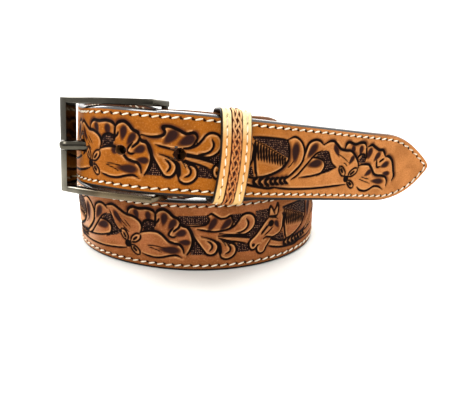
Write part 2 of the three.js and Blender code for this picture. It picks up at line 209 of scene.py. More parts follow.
def place_at(s):
    """Places on the strap: points on the outer face's lower edge, and the ways along, out and up it."""
    s = np.asarray(s, float)
    x, y, heading, slope = (np.interp(s, WALK_AT, WALK[:, k]) for k in range(4))
    zero = np.zeros_like(s)
    along = np.stack([np.cos(slope) * np.cos(heading), np.cos(slope) * np.sin(heading), np.sin(slope)], -1)
    level = np.stack([np.sin(heading), -np.cos(heading), zero], -1)
    upright = np.cross(level, along)
    lean = np.radians(np.interp(s, STATION_AT, station_column("lean")))[..., None]
    up = upright * np.cos(lean) + level * np.sin(lean)
    out = unit(np.cross(along, up))
    return np.stack([x, y, height_at(s)], -1), along, out, up


def frame_at(s):
    """One place on the strap: the point, and the ways along, out and up."""
    return tuple(values[0] for values in place_at([s]))


def smooth(value, low, high):
    t = np.clip((value - low) / (high - low), 0, 1)
    return t * t * (3 - 2 * t)


def thickness_at(s):
    """The strap's thickness, thinned towards the fold."""
    return FOLD_THICKNESS + (STRAP_THICKNESS - FOLD_THICKNESS) * smooth(s, SKIVE_START, SKIVE_END)


def half_width(s):
    """Half the strap's width, less towards the tip, whose sides are arcs that end in a round nose."""
    past = np.clip(s - TIP_START, 0, TIP_LENGTH)
    arc = STRAP_WIDTH / 2 - (TIP_RADIUS - np.sqrt(TIP_RADIUS**2 - past**2))
    nose = np.sqrt(np.maximum(NOSE_RADIUS**2 - (s - NOSE_CENTRE) ** 2, 0))
    return np.maximum(np.where(s > NOSE_START, nose, arc), LEAST_HALF_WIDTH)


def middle_height(s):
    """The height of the strap's middle line, which rises a little at the tip."""
    share = np.clip((s - STRAP_LENGTH + SKEW_LENGTH) / SKEW_LENGTH, 0, 1)
    return STRAP_WIDTH / 2 + TIP_SKEW * share**2


def tip_outline(start):
    """The strap's half width along the tip, from a place before it to the end of its nose."""
    sides = np.linspace(start, NOSE_START, 60)
    angles = np.linspace(NOSE_ANGLE, math.radians(90), 40)
    s = np.concatenate([sides[:-1], NOSE_CENTRE + NOSE_RADIUS * np.sin(angles)])
    half = half_width(s)
    half[-1] = 0
    return s, half


def distance_to_line(points, line):
    """Each point's distance to a polyline, how far along it the nearest place is, from 0 to 1, and whether
    the point is on the hollow side of the line's bend (1), outside it (-1) or in between."""
    nearest = np.full(len(points), 1e9)
    share = np.zeros(len(points))
    hollow = np.zeros(len(points))
    middle = line.mean(0)
    for k in range(len(line) - 1):
        a, b = line[k], line[k + 1]
        span = b - a
        t = np.clip((points - a) @ span / max(span @ span, 1e-9), 0, 1)
        offset = points - a
        far = np.linalg.norm(offset - t[:, None] * span, axis=1)
        closer = far < nearest
        nearest[closer] = far[closer]
        share[closer] = (k + t[closer]) / (len(line) - 1)
        side = span[0] * offset[:, 1] - span[1] * offset[:, 0]
        inner = span[0] * (middle[1] - a[1]) - span[1] * (middle[0] - a[0])
        bend = np.clip(inner / max(np.linalg.norm(span), 1e-9), -1, 1)
        hollow[closer] = (np.sign(side) * bend)[closer]
    return nearest, share, hollow


def edge_distance(along, across):
    """How far in from the strap's outline each place is, round the tip too."""
    from_middle = np.abs(across - middle_height(along))
    gap = STRAP_WIDTH / 2 - from_middle
    near_tip = np.nonzero(along > TIP_START - 6)[0]
    outline = np.stack(tip_outline(TIP_START - 12), -1)
    folded = np.stack([along[near_tip], from_middle[near_tip]], -1)
    gap[near_tip], _, _ = distance_to_line(folded, outline)
    return gap


def belt_stops():
    """Where the belt proper's columns are, ever closer together round the tip's nose."""
    stops = []
    s = 0.0
    while s < NOSE_START - 0.1:
        stops.append(s)
        fine = any(a <= s < b for a, b in FINE_STRETCHES)
        s += FINE_STEP if fine else HIDDEN_STEP if s < HIDDEN_TO else PLAIN_STEP
    angles = np.linspace(NOSE_ANGLE, math.radians(88), NOSE_COLUMNS)
    return stops + list(NOSE_CENTRE + NOSE_RADIUS * np.sin(angles))


def strap_columns():
    """Each column of the strap's mesh: its place, its thickness and how far along the strap it lies.
    The flap behind the belt comes first, then the fold round the heel bar, then the belt itself."""
    columns = []
    wide, close = 2 * FOLD_RADIUS, STRAP_THICKNESS + LAYER_GAP + FOLD_THICKNESS
    for s in np.arange(FLAP_LENGTH, -0.1, -1.0):
        point, _, out, up = frame_at(s)
        depth = wide + (close - wide) * smooth(s, SKIVE_START, SKIVE_END)
        columns.append((point - out * depth, -out, up, FOLD_THICKNESS, -s - FOLD_COUNT))
    point, along, out, up = frame_at(0.0)
    for k in range(1, FOLD_STEPS):
        angle = math.pi * (1 - k / FOLD_STEPS)
        turned = out * math.cos(angle) - along * math.sin(angle)
        place = point - out * FOLD_RADIUS + turned * FOLD_RADIUS
        columns.append((place, turned, up, FOLD_THICKNESS, -FOLD_COUNT + k * FOLD_COUNT / FOLD_STEPS))
    for s in belt_stops():
        point, _, out, up = frame_at(s)
        columns.append((point, out, up, thickness_at(s), s))
    return columns


def ring_section():
    """The way round the strap's section: for each point, how its depth and height follow from the
    rounding r, the thickness t and the low and high edges of the face."""
    rows = []
    for k in range(FACE_ROWS + 1):
        rows.append(("face", k / FACE_ROWS, 0.0))
    for k in range(1, EDGE_STEPS + 1):
        rows.append(("top front", 0, math.radians(90 * k / EDGE_STEPS)))
    for k in range(EDGE_STEPS + 1):
        rows.append(("top back", 0, math.radians(90 + 90 * k / EDGE_STEPS)))
    for k in range(1, BACK_ROWS):
        rows.append(("back", k / BACK_ROWS, 0.0))
    for k in range(EDGE_STEPS + 1):
        rows.append(("low back", 0, math.radians(180 + 90 * k / EDGE_STEPS)))
    for k in range(EDGE_STEPS + 1):
        rows.append(("low front", 0, math.radians(270 + 90 * k / EDGE_STEPS)))
    return rows


def section_points(rows, thickness, low, high):
    """Depth behind the outer face and height up it, for every point round one section."""
    r = min(EDGE_ROUNDING, thickness / 2 - 0.05, (high - low) / 2 - 0.05)
    depths, heights = [], []
    for kind, f, angle in rows:
        if kind == "face":
            depth, height = 0, low + r + (high - low - 2 * r) * f
        elif kind == "back":
            depth, height = thickness, high - r - (high - low - 2 * r) * f
        else:
            middle = thickness - r if "back" in kind else r
            edge = high - r if "top" in kind else low + r
            depth = middle - r * math.cos(angle)
            height = edge + r * math.sin(angle)
        depths.append(depth)
        heights.append(height)
    return np.array(depths), np.array(heights)


def new_object(name, mesh, *materials):
    piece = bpy.data.objects.new(name, mesh)
    bpy.context.scene.collection.objects.link(piece)
    for material in materials:
        mesh.materials.append(material)
    return piece


def read_points(mesh):
    points = np.empty(len(mesh.vertices) * 3, np.float32)
    mesh.vertices.foreach_get("co", points)
    return points.reshape(-1, 3).astype(float)


def write_points(mesh, points):
    mesh.vertices.foreach_set("co", points.astype(np.float32).ravel())
    mesh.update()


def read_values(mesh, name):
    values = np.empty(len(mesh.vertices), np.float32)
    mesh.attributes[name].data.foreach_get("value", values)
    return values.astype(float)


def write_values(mesh, name, values):
    attribute = mesh.attributes.get(name) or mesh.attributes.new(name, "FLOAT", "POINT")
    attribute.data.foreach_set("value", values.astype(np.float32))


def finish_mesh(bm, name, smooth_faces=True):
    for face in bm.faces:
        face.smooth = smooth_faces
    mesh = bpy.data.meshes.new(name)
    bm.to_mesh(mesh)
    bm.free()
    return mesh


def grid_mesh(name, columns, rows):
    """A flat grid, and which column and row each of its points is in."""
    bm = bmesh.new()
    bmesh.ops.create_grid(bm, x_segments=columns - 1, y_segments=rows - 1, size=1)
    mesh = finish_mesh(bm, name)
    share = (read_points(mesh)[:, :2] + 1) / 2
    column, row = np.rint(share * (columns - 1, rows - 1)).astype(int).T
    return mesh, column, row


def close_mesh(mesh):
    """Merges a bent grid's seams, fills its open ends and turns its faces outward."""
    bm = bmesh.new()
    bm.from_mesh(mesh)
    bmesh.ops.remove_doubles(bm, verts=bm.verts, dist=SEAM)
    bmesh.ops.holes_fill(bm, edges=[e for e in bm.edges if e.is_boundary], sides=0)
    bmesh.ops.recalc_face_normals(bm, faces=bm.faces)
    bm.to_mesh(mesh)
    bm.free()
    mesh.polygons.foreach_set("use_smooth", [True] * len(mesh.polygons))
    return mesh


def plain_strap():
    """The strap without its holes and its tooling: a grid bent round its section and along its way."""
    columns = strap_columns()
    rows = ring_section()
    mesh, column, row = grid_mesh("strap", len(columns), len(rows))
    places = np.zeros((len(columns), len(rows), 3))
    flat = np.zeros((len(columns), len(rows), 3))
    for c, (point, out, up, thickness, s) in enumerate(columns):
        half, middle = half_width(max(s, 0)), middle_height(s)
        depths, heights = section_points(rows, thickness, middle - half, middle + half)
        places[c] = point - out * depths[:, None] + up * heights[:, None]
        flat[c] = np.stack([np.full(len(rows), s), heights, depths], -1)
    write_points(mesh, places[column, row] * MM)
    for k, name in enumerate(("along", "across", "depth")):
        write_values(mesh, name, flat[column, row, k])
    return close_mesh(mesh)


def lay(middle, x, y, z):
    """The matrix that lays a shape on a middle, with its own axes along three ways."""
    return Matrix.Translation(middle) @ Matrix(np.column_stack([x, y, z]).tolist()).to_4x4()


def hole_cutters():
    """One mesh of round-ended plugs, one for each punched hole, and a block for the prong's slot."""
    bm = bmesh.new()
    turned = Matrix.Rotation(math.pi / HOLE_SIDES, 4, "Z")
    for hole in HOLES:
        point, along, out, up = frame_at(hole.at)
        radius = hole.width / 2
        made = bmesh.ops.create_cone(
            bm, cap_ends=True, segments=HOLE_SIDES, radius1=radius, radius2=radius, depth=CUTTER_DEPTH,
            matrix=turned,
        )["verts"]
        for vert in made:
            vert.co.x += math.copysign((hole.length - hole.width) / 2, vert.co.x)
        middle = point + up * STRAP_WIDTH / 2 - out * STRAP_THICKNESS / 2
        bmesh.ops.transform(bm, matrix=lay(middle, along, up, out), verts=made)
    point, along, out, up = frame_at(0.0)
    made = bmesh.ops.create_cube(bm, size=1)["verts"]
    bmesh.ops.scale(bm, vec=(*PRONG_SLOT, SLOT_CUTTER_DEPTH), verts=made)
    middle = point - out * FOLD_RADIUS + up * STRAP_WIDTH / 2
    bmesh.ops.transform(bm, matrix=lay(middle, along, up, out), verts=made)
    bmesh.ops.scale(bm, vec=(MM, MM, MM), verts=bm.verts)
    bmesh.ops.recalc_face_normals(bm, faces=bm.faces)
    return new_object("hole cutters", finish_mesh(bm, "hole cutters"))


def applied(piece):
    """The piece's mesh with its modifiers applied, put back on it."""
    graph = bpy.context.evaluated_depsgraph_get()
    mesh = bpy.data.meshes.new_from_object(piece.evaluated_get(graph), depsgraph=graph)
    piece.modifiers.clear()
    piece.data = mesh
    return mesh


def punch_holes(piece):
    """Cuts the holes, and writes the flat strap's measures afresh on their walls."""
    cutters = hole_cutters()
    cut = piece.modifiers.new("holes", "BOOLEAN")
    cut.object = cutters
    cut.operation = "DIFFERENCE"
    cut.solver = "MANIFOLD"
    mesh = applied(piece)
    bpy.data.objects.remove(cutters)
    points = read_points(mesh) / MM
    flat = [read_values(mesh, name) for name in ("along", "across", "depth")]
    for hole in HOLES:
        point, along, out, up = frame_at(hole.at)
        offset = points - point
        u, v, w = offset @ along, offset @ up, -(offset @ out)
        near = np.hypot(u, v - STRAP_WIDTH / 2) < hole.length / 2 + 0.35
        near &= (w > -0.6) & (w < STRAP_THICKNESS + 1)
        for values, fresh in zip(flat, (u + hole.at, v, w)):
            values[near] = fresh[near]
    for name, values in zip(("along", "across", "depth"), flat):
        write_values(mesh, name, values)
    return mesh


# The tooling, charted flat in mm: x along the strap from the motif's own mark, y up from the lower edge.
# A cut is a knife line with a bevel, a pear a smooth dark dent with a tail, a dot a round punch mark,
# and a ground is background that is beaten down and dotted.
Cut = namedtuple("Cut", "name width line")
Pear = namedtuple("Pear", "name at length width tail")
Dot = namedtuple("Dot", "name at radius")
Ground = namedtuple("Ground", "name outline")

FLOWER = [
    Cut("left petal, top", 1.3, [(-26, 30.5), (-24, 31.1), (-21.5, 31.7), (-19, 31), (-16, 29.5),
        (-13, 28), (-9.5, 27.5), (-6.5, 26.3), (-4.5, 24.5), (-3.8, 22), (-4.7, 19.5)]),
    Cut("left petal, side", 0.8, [(-23.5, 28.5), (-22.5, 26), (-22, 23.5), (-21, 21), (-19, 19),
        (-17.3, 17.8)]),
    Cut("left petal, first vein", 0.6, [(-17.5, 25.8), (-15, 23.2), (-12.5, 21)]),
    Cut("left petal, second vein", 0.6, [(-14.2, 24.9), (-12, 22.7), (-10.5, 21)]),
    Cut("left petal, third vein", 0.6, [(-15.4, 21.4), (-13.4, 19.7), (-11.5, 18.2)]),
    Cut("left ruffle, top", 1.4, [(-12, 28.4), (-11, 31), (-8.5, 32.4), (-5, 32), (-1, 32.5),
        (2.5, 31.8), (4, 30)]),
    Cut("first notch", 1.1, [(4, 30), (3.8, 27.5), (3.6, 25.2)]),
    Cut("first notch, hook", 0.9, [(3.6, 25.2), (5, 26.2), (5.8, 27.8)]),
    Cut("second ruffle, top", 1.5, [(3.7, 29.5), (5.5, 32), (8.5, 32.8), (11, 31.5), (13, 29.5),
        (15.5, 28.3), (16.6, 26.2)]),
    Cut("second notch", 1.1, [(16.8, 26.4), (15.8, 23.8), (14, 22.2), (12.8, 21.2)]),
    Cut("second notch, hook", 1.0, [(13.2, 23.6), (11.2, 21.2), (10.5, 19.2), (12.3, 18.3),
        (14.5, 18.8)]),
    Cut("third ruffle, top", 1.6, [(16.6, 26.6), (17.5, 24.8), (20, 24), (21.6, 21.8), (22.5, 19),
        (22.6, 15.5), (21.5, 12), (19.5, 9)]),
    Cut("crown, upper arc", 1.2, [(-3.8, 22.6), (-2.4, 25.4), (0.5, 26.4), (3.2, 25.4), (3.6, 23.5)]),
    Cut("crown, lower arc", 0.6, [(-3.2, 21), (-0.5, 22.6), (3.4, 21.8)]),
    Cut("lower petal, top", 1.3, [(-5, 19), (-2.5, 20), (1, 20.8), (4.5, 20.6), (7, 19.2), (9, 17.2),
        (10.5, 15.8), (13, 15), (15.8, 14.4), (17.4, 12.4), (18, 9.8)]),
    Cut("lower petal, underside", 1.0, [(-4.5, 7.6), (-1.5, 6.8), (2, 6.3), (6, 6.6), (10, 7.8),
        (14, 8.4), (17, 7.2)]),
    Cut("lower petal, first vein", 0.6, [(-1.4, 12.8), (3.5, 12.7), (8.5, 11.9)]),
    Cut("lower petal, second vein", 0.6, [(-1, 11.8), (3, 10.9), (6.5, 9.5)]),
    Cut("upper stalk", 0.9, [(-48, 10.2), (-40, 11), (-31, 12.7), (-24, 15.1), (-17.5, 17.8)]),
    Cut("lower stalk", 1.0, [(-61, 7), (-50, 6.5), (-40, 6.4), (-30, 6.8), (-20, 8), (-13.6, 9.2)]),
    Dot("small flower's button", (-12.6, 11.7), 2.0),
    Pear("left petal", (-18.6, 26), 5.2, 2.6, -55),
    Pear("left ruffle", (-6.7, 29.3), 3.4, 2.6, -75),
    Pear("middle ruffle", (0, 28.8), 3.8, 2.6, -90),
    Pear("second ruffle", (8.5, 28.3), 4.4, 3, -100),
    Pear("second ruffle, right", (12.8, 25.7), 4.4, 2.8, -125),
    Pear("third ruffle", (17.2, 20.8), 4, 3, -155),
    Pear("lowest ruffle", (19, 15.8), 4, 2.6, 180),
    Pear("lower petal", (11.8, 11.2), 7, 3.4, 180),
    Ground("crown", [(-3.6, 24), (-2, 25.8), (0.5, 26.4), (3, 25.3), (3.6, 23.3), (3, 21.4), (0, 20.9),
        (-3, 20.6)]),
]


def small_petal(start, end, spread):
    """A pointed oval petal with a seed down its middle."""
    a, b = np.array(start), np.array(end)
    side = np.array([a[1] - b[1], b[0] - a[0]]) / np.linalg.norm(b - a) * spread
    marks = [Cut("seed", 1.15, [a * 0.75 + b * 0.25, a * 0.35 + b * 0.65])]
    for bulge in (-side, side):
        line = [a, a * 0.7 + b * 0.3 + bulge, a * 0.25 + b * 0.75 + bulge, b]
        marks.append(Cut("small petal", 0.85, line))
    return marks


FLOWER += small_petal((-12.9, 13.2), (-16.2, 19.6), 1.7)
FLOWER += small_petal((-11, 13), (-4.8, 18), 1.7)
FLOWER += small_petal((-11, 11.4), (-5.8, 6.5), 1.6)

TAIL_FLOWER = [
    Cut("left petal, top", 1.3, [(-26.4, 29), (-23.1, 30.9), (-20.3, 31.2), (-17.6, 29.6),
        (-14.8, 27.6), (-11.4, 27.1), (-8.1, 27.1), (-5.3, 25.7), (-3.1, 23.4), (-1.5, 21.2),
        (-0.7, 18.4)]),
    Cut("left petal, side", 0.8, [(-23.1, 26.2), (-21.2, 22.3), (-19.2, 19.5), (-16.2, 17.9)]),
    Cut("left petal, first vein", 0.6, [(-17, 25.1), (-12.4, 23.2), (-8.1, 20.7)]),
    Cut("left petal, second vein", 0.6, [(-12, 20.7), (-10.2, 19.9), (-8.7, 18.7)]),
    Cut("left ruffle, top", 1.4, [(-12.3, 27.9), (-11.4, 30.7), (-9.2, 31.5), (-5.7, 30.7),
        (-2.3, 31.8), (1, 31.8), (2.7, 29.8)]),
    Cut("first notch", 1.1, [(2.7, 29.8), (3, 28), (4, 24.3), (1.5, 24.3)]),
    Cut("second ruffle, top", 1.5, [(3.8, 30.1), (6.5, 31.2), (9.3, 30.1), (12.1, 29), (14.9, 29),
        (16.8, 27.3), (17.7, 25.7)]),
    Cut("second notch", 1.1, [(17.1, 24.3), (14.9, 22.9), (14, 22.4)]),
    Cut("second notch, hook", 1.0, [(11.8, 23.4), (12.4, 20.7), (13.2, 19.3), (15.2, 19.8)]),
    Cut("third ruffle, top", 1.6, [(17.7, 25.7), (20.4, 25.7), (23.2, 24), (24.9, 21.2), (26, 18.4),
        (27.4, 15.1), (26.6, 12.3)]),
    Cut("crown, upper arc", 1.1, [(-2.4, 23.6), (-0.8, 25.4), (1.4, 25.8), (3.4, 24.8)]),
    Cut("lower petal, top", 1.3, [(-0.7, 19.6), (2.7, 20.4), (6.6, 20.4), (9.3, 18.4), (11.6, 15.7),
        (14.3, 14.8), (17.7, 14.8), (21, 14), (22.7, 11.8), (22.7, 9)]),
    Cut("lower petal, underside", 1.1, [(0.7, 7.9), (3.2, 6.2), (7.1, 5.7), (10.4, 6.8), (13.2, 8.4),
        (17.1, 8.4), (20.7, 6.8)]),
    Cut("lower petal, first vein", 0.6, [(1, 12.3), (4.9, 11.2), (9.9, 10.1)]),
    Cut("lower petal, second vein", 0.6, [(2.1, 13.7), (5.4, 12.9), (9.3, 12.3)]),
    Cut("upper stalk", 0.9, [(-40, 11.5), (-31, 12.9), (-24, 15.1), (-16.2, 17.9)]),
    Cut("lower stalk", 1.0, [(-57, 6.4), (-47, 5.8), (-37, 5.9), (-27, 6.6), (-17, 7.8), (-8.1, 9)]),
    Dot("small flower's button", (-8.3, 12), 1.8),
    Pear("left petal", (-18.1, 27.1), 4.6, 2.4, -55),
    Pear("inner side of the left petal", (-6.2, 22.9), 3.6, 2.2, -120),
    Pear("left ruffle", (-6.5, 28.2), 3.2, 2.2, -75),
    Pear("middle ruffle", (-1, 28.4), 3.4, 2.4, -90),
    Pear("second ruffle", (5.7, 27.3), 4, 2.6, -100),
    Pear("second ruffle, right", (11.8, 25.7), 4, 2.6, -125),
    Pear("third ruffle", (19, 21.2), 4, 2.8, -155),
    Pear("lowest ruffle", (21.3, 16.2), 3.6, 2.2, 180),
    Pear("lower petal", (16, 11.5), 6, 2.6, 180),
    Pear("lower petal's fold", (7.4, 16.2), 3.6, 2.4, -145),
    Ground("crown", [(-1, 24), (0.5, 25.4), (2.8, 25), (4, 23.5), (3.4, 21.4), (0.8, 20.7),
        (-1.2, 21.4)]),
]
TAIL_FLOWER += small_petal((-14.2, 18.8), (-9.6, 13.4), 1.5)
TAIL_FLOWER += small_petal((-7.2, 13.4), (-1, 18), 1.5)
TAIL_FLOWER += small_petal((-7.2, 11.2), (-2, 7.4), 1.4)

LEAF_TOP = [
    Cut("upper leaf, top", 1.1, [(-2.5, 30), (-0.5, 31), (1.5, 29.8), (4, 28.3), (7, 28.5), (9, 29.5),
        (10.3, 27.5), (10.5, 25)]),
    Cut("upper leaf, left", 0.9, [(-2.5, 30.3), (-1.7, 27.5), (-3.3, 25.4), (-7, 24.7), (-12, 24.6)]),
    Pear("upper leaf, left", (0.3, 26), 5.4, 2.8, -120),
    Pear("upper leaf, right", (7.3, 25.6), 5.4, 2.8, -135),
    Ground("over the leaf's stalk", [(-17, 30), (-2.6, 30.5), (-1.7, 27.5), (-3.5, 25.3), (-15, 25.3),
        (-16.4, 27.5)]),
    Ground("between leaf and curl", [(8.6, 30.4), (16, 30.4), (13.7, 27.6), (11, 24.5), (10.5, 27.5)]),
    Ground("right of the curl", [(22, 30.8), (30.5, 31), (30.5, 26.5), (27.5, 23.8), (24.5, 20.5),
        (19.5, 15.5), (16, 17.5), (20.5, 20.5), (22.7, 24), (22.4, 27.5)]),
]

OPEN_LEAF_TOP = [
    Cut("upper leaf, top", 1.3, [(-14.5, 26.9), (-9.6, 26.3), (-4.6, 27.1), (-3.2, 28.8), (-4.4, 31),
        (-0.8, 31.3), (2.8, 30.1), (5.9, 28.6), (9.2, 29.3), (10.8, 27.6), (10.6, 25)]),
    Pear("upper leaf, left", (0.2, 27.4), 5.6, 4, -135),
    Pear("upper leaf, right", (7.2, 25.9), 5.2, 3.8, -150),
    Ground("right of the stem", [(23.5, 24.5), (21.5, 20.5), (15, 17.8), (19.5, 15.5), (25, 12.8),
        (27, 16), (26.5, 22)]),
]

LEAF_BODY = [
    Cut("upper leaf, underside", 1.0, [(10.4, 26.4), (9, 23.2), (5.5, 21.9), (0.5, 21.5), (-4.5, 22.3),
        (-7.5, 22.9)]),
    Cut("first lobe", 1.2, [(-12, 24.6), (-11.5, 23), (-10, 19.5), (-8.5, 17), (-6.5, 14), (-4.5, 11),
        (-3, 9.2), (-1, 8.7), (1, 9.3), (2.5, 11.5), (2.8, 14), (1.5, 16), (-1.5, 17.8),
        (-5.5, 18.9)]),
    Cut("first lobe's crescent", 0.9, [(-2.6, 16.6), (-0.7, 15), (-0.2, 13), (-1.6, 11)]),
    Cut("second lobe", 1.1, [(3, 18), (7, 15.6), (10.5, 14.4), (12, 12.4), (12, 9.5), (10, 7), (7, 6),
        (4.5, 7), (3.5, 9)]),
    Cut("second lobe, left", 1.8, [(2.6, 16), (3.5, 13.4), (3.8, 11), (3.7, 8.8)]),
    Cut("second lobe's crescent", 0.9, [(7.3, 14.6), (9, 12.4), (8.6, 10.2), (6.4, 9)]),
    Cut("second lobe's vein", 0.5, [(4.6, 16.4), (6, 14.6), (6.8, 13)]),
    Cut("stem, top", 1.3, [(3, 19.1), (10.5, 18.5), (16, 17.5), (19, 16.8)]),
    Cut("stem, underside", 0.9, [(3, 17.9), (8, 16.1), (13, 15), (18.5, 13.2)]),
    Cut("curl", 1.1, [(12.6, 26), (14.3, 28.4), (16.5, 29.9), (19.5, 29.7), (21.6, 28), (22.5, 25),
        (21.5, 22), (19, 19.7), (15.5, 18.6), (9.5, 19.3), (3.5, 20.3)]),
    Cut("curl, left", 1.0, [(4, 21.8), (8, 22.4), (11, 24), (13, 26.5), (14.3, 28.4)]),
    Cut("curl's crescent", 1.0, [(17.4, 27.2), (18.5, 24.6), (17.5, 22), (15, 20.4), (12, 19.9)]),
    Ground("under the first lobe", [(-10, 15), (-8.3, 16.6), (-6.5, 14), (-4.5, 11), (-3.3, 9),
        (-11.5, 9), (-10.5, 12)]),
    Ground("under the stem", [(12.4, 14.8), (18.5, 13.1), (19.5, 9), (12, 9.4)]),
]
LEAVES = LEAF_TOP + LEAF_BODY
OPEN_LEAVES = OPEN_LEAF_TOP + LEAF_BODY

HORSE = [
    Cut("face", 1.0, [(-1.3, 26), (-3.8, 24), (-6.3, 21), (-9.3, 17.5), (-12.2, 15), (-13, 12.8),
        (-12.3, 10.4), (-10.8, 9.3), (-8.9, 10), (-8, 11.4), (-6.8, 11.8)]),
    Cut("chin and throat", 1.0, [(-8, 11.4), (-8.5, 9.5), (-7.8, 7.5), (-5.8, 6.5), (-3.8, 7.5),
        (-2.8, 9.5), (-1.3, 11.5), (0, 13.2)]),
    Cut("cheek", 1.0, [(-4.6, 14.4), (-2.8, 15.3), (-0.8, 14.8), (1.2, 14.3), (3.7, 14.8), (6.2, 16),
        (7.7, 18.5), (8, 21.5), (8.2, 24.5), (7.2, 26.5)]),
    Cut("near ear", 0.9, [(-1.3, 26.5), (-1.5, 29), (-0.8, 31.8), (0.4, 30.6), (1.6, 28.5), (2, 27)]),
    Cut("far ear", 0.9, [(1.8, 28.6), (3.1, 30.8), (3.8, 32.7), (4.6, 30.5), (4.3, 27.5), (3.7, 26)]),
    Cut("forelock", 1.2, [(-1.4, 26.2), (1.2, 25.8), (3.9, 25.9)]),
    Cut("brow", 0.6, [(-0.3, 25.2), (2.7, 24.8), (4.4, 23.8)]),
    Cut("corner of the eye", 1.2, [(-1.6, 21.6), (-3.8, 19.5), (-5.8, 17.4)]),
    Cut("cheekbone", 0.7, [(1.4, 20.2), (-1.3, 18), (-4, 16.3)]),
    Cut("throat line", 1.1, [(0.2, 13.5), (2.7, 12.5), (6.7, 11), (10.7, 10.5)]),
    Cut("long stalk", 1.1, [(-1.8, 10), (2.2, 8.5), (7.2, 7.1), (13.7, 6.2), (18.7, 5.8), (24, 6.4)]),
    Dot("eye", (0, 22.2), 1.8),
    Dot("nostril", (-10.3, 12), 0.95),
    Pear("brow shade", (3.4, 21.6), 3.2, 2.2, -60),
    Ground("under the cheek", [(1.2, 13.4), (6.7, 15.3), (7.9, 16.6), (8.8, 14), (9.8, 11),
        (5.7, 11.8)]),
]

MANE = [
    Cut("neck", 1.2, [(-20.3, 27), (-19.5, 24), (-19.9, 21), (-19.3, 17.5), (-18.7, 14),
        (-17.6, 11.2)]),
    Cut("lower edge", 1.3, [(-18.4, 11), (-13.5, 11.4), (-8.5, 13), (-3.6, 15.6), (-0.5, 19),
        (0.3, 21.5), (-0.2, 26), (-1.5, 29.6)]),
    Cut("top", 0.8, [(-21.5, 29.9), (-10, 30), (-1.5, 29.8)]),
    Cut("under the combed ground", 0.6, [(-21.5, 28.7), (-14, 26), (-7, 23), (-0.4, 20.4)]),
    Ground("combed ground", [(-22, 30.2), (-1.5, 30), (-0.3, 26), (0, 20.6), (-7, 23.4), (-14, 26.4),
        (-21.8, 28.9)]),
    Cut("first pear petal", 1.1, [(-1.7, 29.7), (2.7, 31.5), (6.6, 29.8), (8.8, 26.8), (9.5, 23.4),
        (8.3, 19), (4.9, 15.1), (1.1, 11.8), (-0.6, 10.9)]),
    Cut("first pear petal's vein", 0.5, [(3.3, 19.8), (1.8, 17.6), (0, 16.2)]),
    Cut("second pear petal, top", 1.2, [(9.8, 22.5), (10.3, 25.5), (11.6, 29), (14.9, 30.9),
        (18.3, 30.7), (21, 28.8)]),
    Cut("second pear petal, stem", 0.9, [(20.5, 26), (16.1, 23.4), (11.6, 18.4), (6.6, 12.9),
        (2.7, 10.4)]),
    Cut("second pear petal, vein", 0.7, [(9.9, 20.7), (6.6, 16.2), (1.6, 11.8)]),
    Cut("third pear petal", 1.0, [(13.8, 21.8), (18.3, 22.1), (22.2, 20.7), (23.3, 17.9), (21.6, 14.6),
        (18.8, 12.9)]),
    Pear("first", (3.9, 24.8), 6.6, 3.7, -90),
    Pear("second", (14.7, 26.2), 5.6, 3.3, -125),
    Pear("third", (17.6, 19.2), 6, 3.5, 195),
    Ground("between petal and flower", [(16.6, 22.9), (19.4, 25.4), (22.7, 26.5), (24.9, 25.7),
        (26.6, 21.8), (28.8, 19), (31.3, 17.9), (26.6, 15.1), (21.6, 13.7), (23.5, 17.9),
        (22.2, 21.2)]),
]
MANE += [
    Cut("mane lock", 1.0, [(x - 0.3, 27.9 - 0.63 * k), (x, 24.2 - 0.36 * k), (x + 0.8, 19.2 - 0.22 * k)])
    for k, x in enumerate(-20 + 1.62 * np.arange(12))
]
MANE += [
    Cut("chevron", 1.5, [(x + 1.3, y + 1.7), (x - 0.7, y + 0.7), (x - 0.6, y - 0.9), (x + 1.4, y - 2)])
    for x, y in [(-18.3, 9), (-15, 9), (-11.6, 9.1), (-8.6, 9.4), (-5.9, 9.6), (-2.9, 9.9), (-0.2, 10.3)]
]

# The dent that the prong has worn beside its hole
WORN_DENT = [Pear("worn", (0, 18.8), 2.8, 3.2, 0)]

# Where each motif's mark lies along the strap, and how far its length and height are stretched
Stamp = namedtuple("Stamp", "motif at stretch rise")
STAMPS = [
    Stamp(FLOWER, 68, 1, 1),
    Stamp(LEAVES, 99, 1, 1),
    Stamp(HORSE, 131, 1, 1),
    Stamp(MANE, 159, 1, 1),
    Stamp(FLOWER, 205, 1, 1),
    Stamp(LEAVES, 237, 1, 1),
    Stamp(HORSE, 268, 1, 1),
    Stamp(MANE, 296.5, 0.97, 1),
    Stamp(FLOWER, 342, 1, 1),
    Stamp(LEAVES, 374.5, 1, 1),
    Stamp(HORSE, 406.3, 1, 1),
    Stamp(MANE, 434.5, 0.97, 1),
    Stamp(FLOWER, 480, 1, 1),
    Stamp(LEAVES, 512, 1, 1),
    Stamp(HORSE, 543.5, 1, 1),
    Stamp(MANE, 571, 1, 1),
    Stamp(FLOWER, 616, 1, 1),
    Stamp(LEAVES, 648, 1, 1),
    Stamp(HORSE, 679, 1, 1),
    Stamp(MANE, 706, 0.97, 1),
    Stamp(FLOWER, 749.9, 0.95, 0.97),
    Stamp(WORN_DENT, 753.6, 1, 1),
    Stamp(OPEN_LEAVES, 780.3, 0.97, 0.99),
    Stamp(HORSE, 811, 0.95, 1),
    Stamp(MANE, 839.5, 1, 1),
    Stamp(TAIL_FLOWER, 887, 1, 1),
]
STAMP_REACH = 66

# The tooling's fields, with what each is away from every mark: how far inside a cut, a pear and a ground
# a point lies, how dark it is shaded, how far the leather slopes there, and how pale its rim is, which is
# partly rubbed paler and partly a painted highlight
NO_TOOLING = {"cut": -3.0, "pear": -1.0, "ground": -3.0, "shade": 0.0, "bevel": 0.0, "rim": 0.0}

# How far from its own points each kind of mark has an effect
MARK_REACH = {Cut: 4, Pear: 15, Dot: 6, Ground: 3}

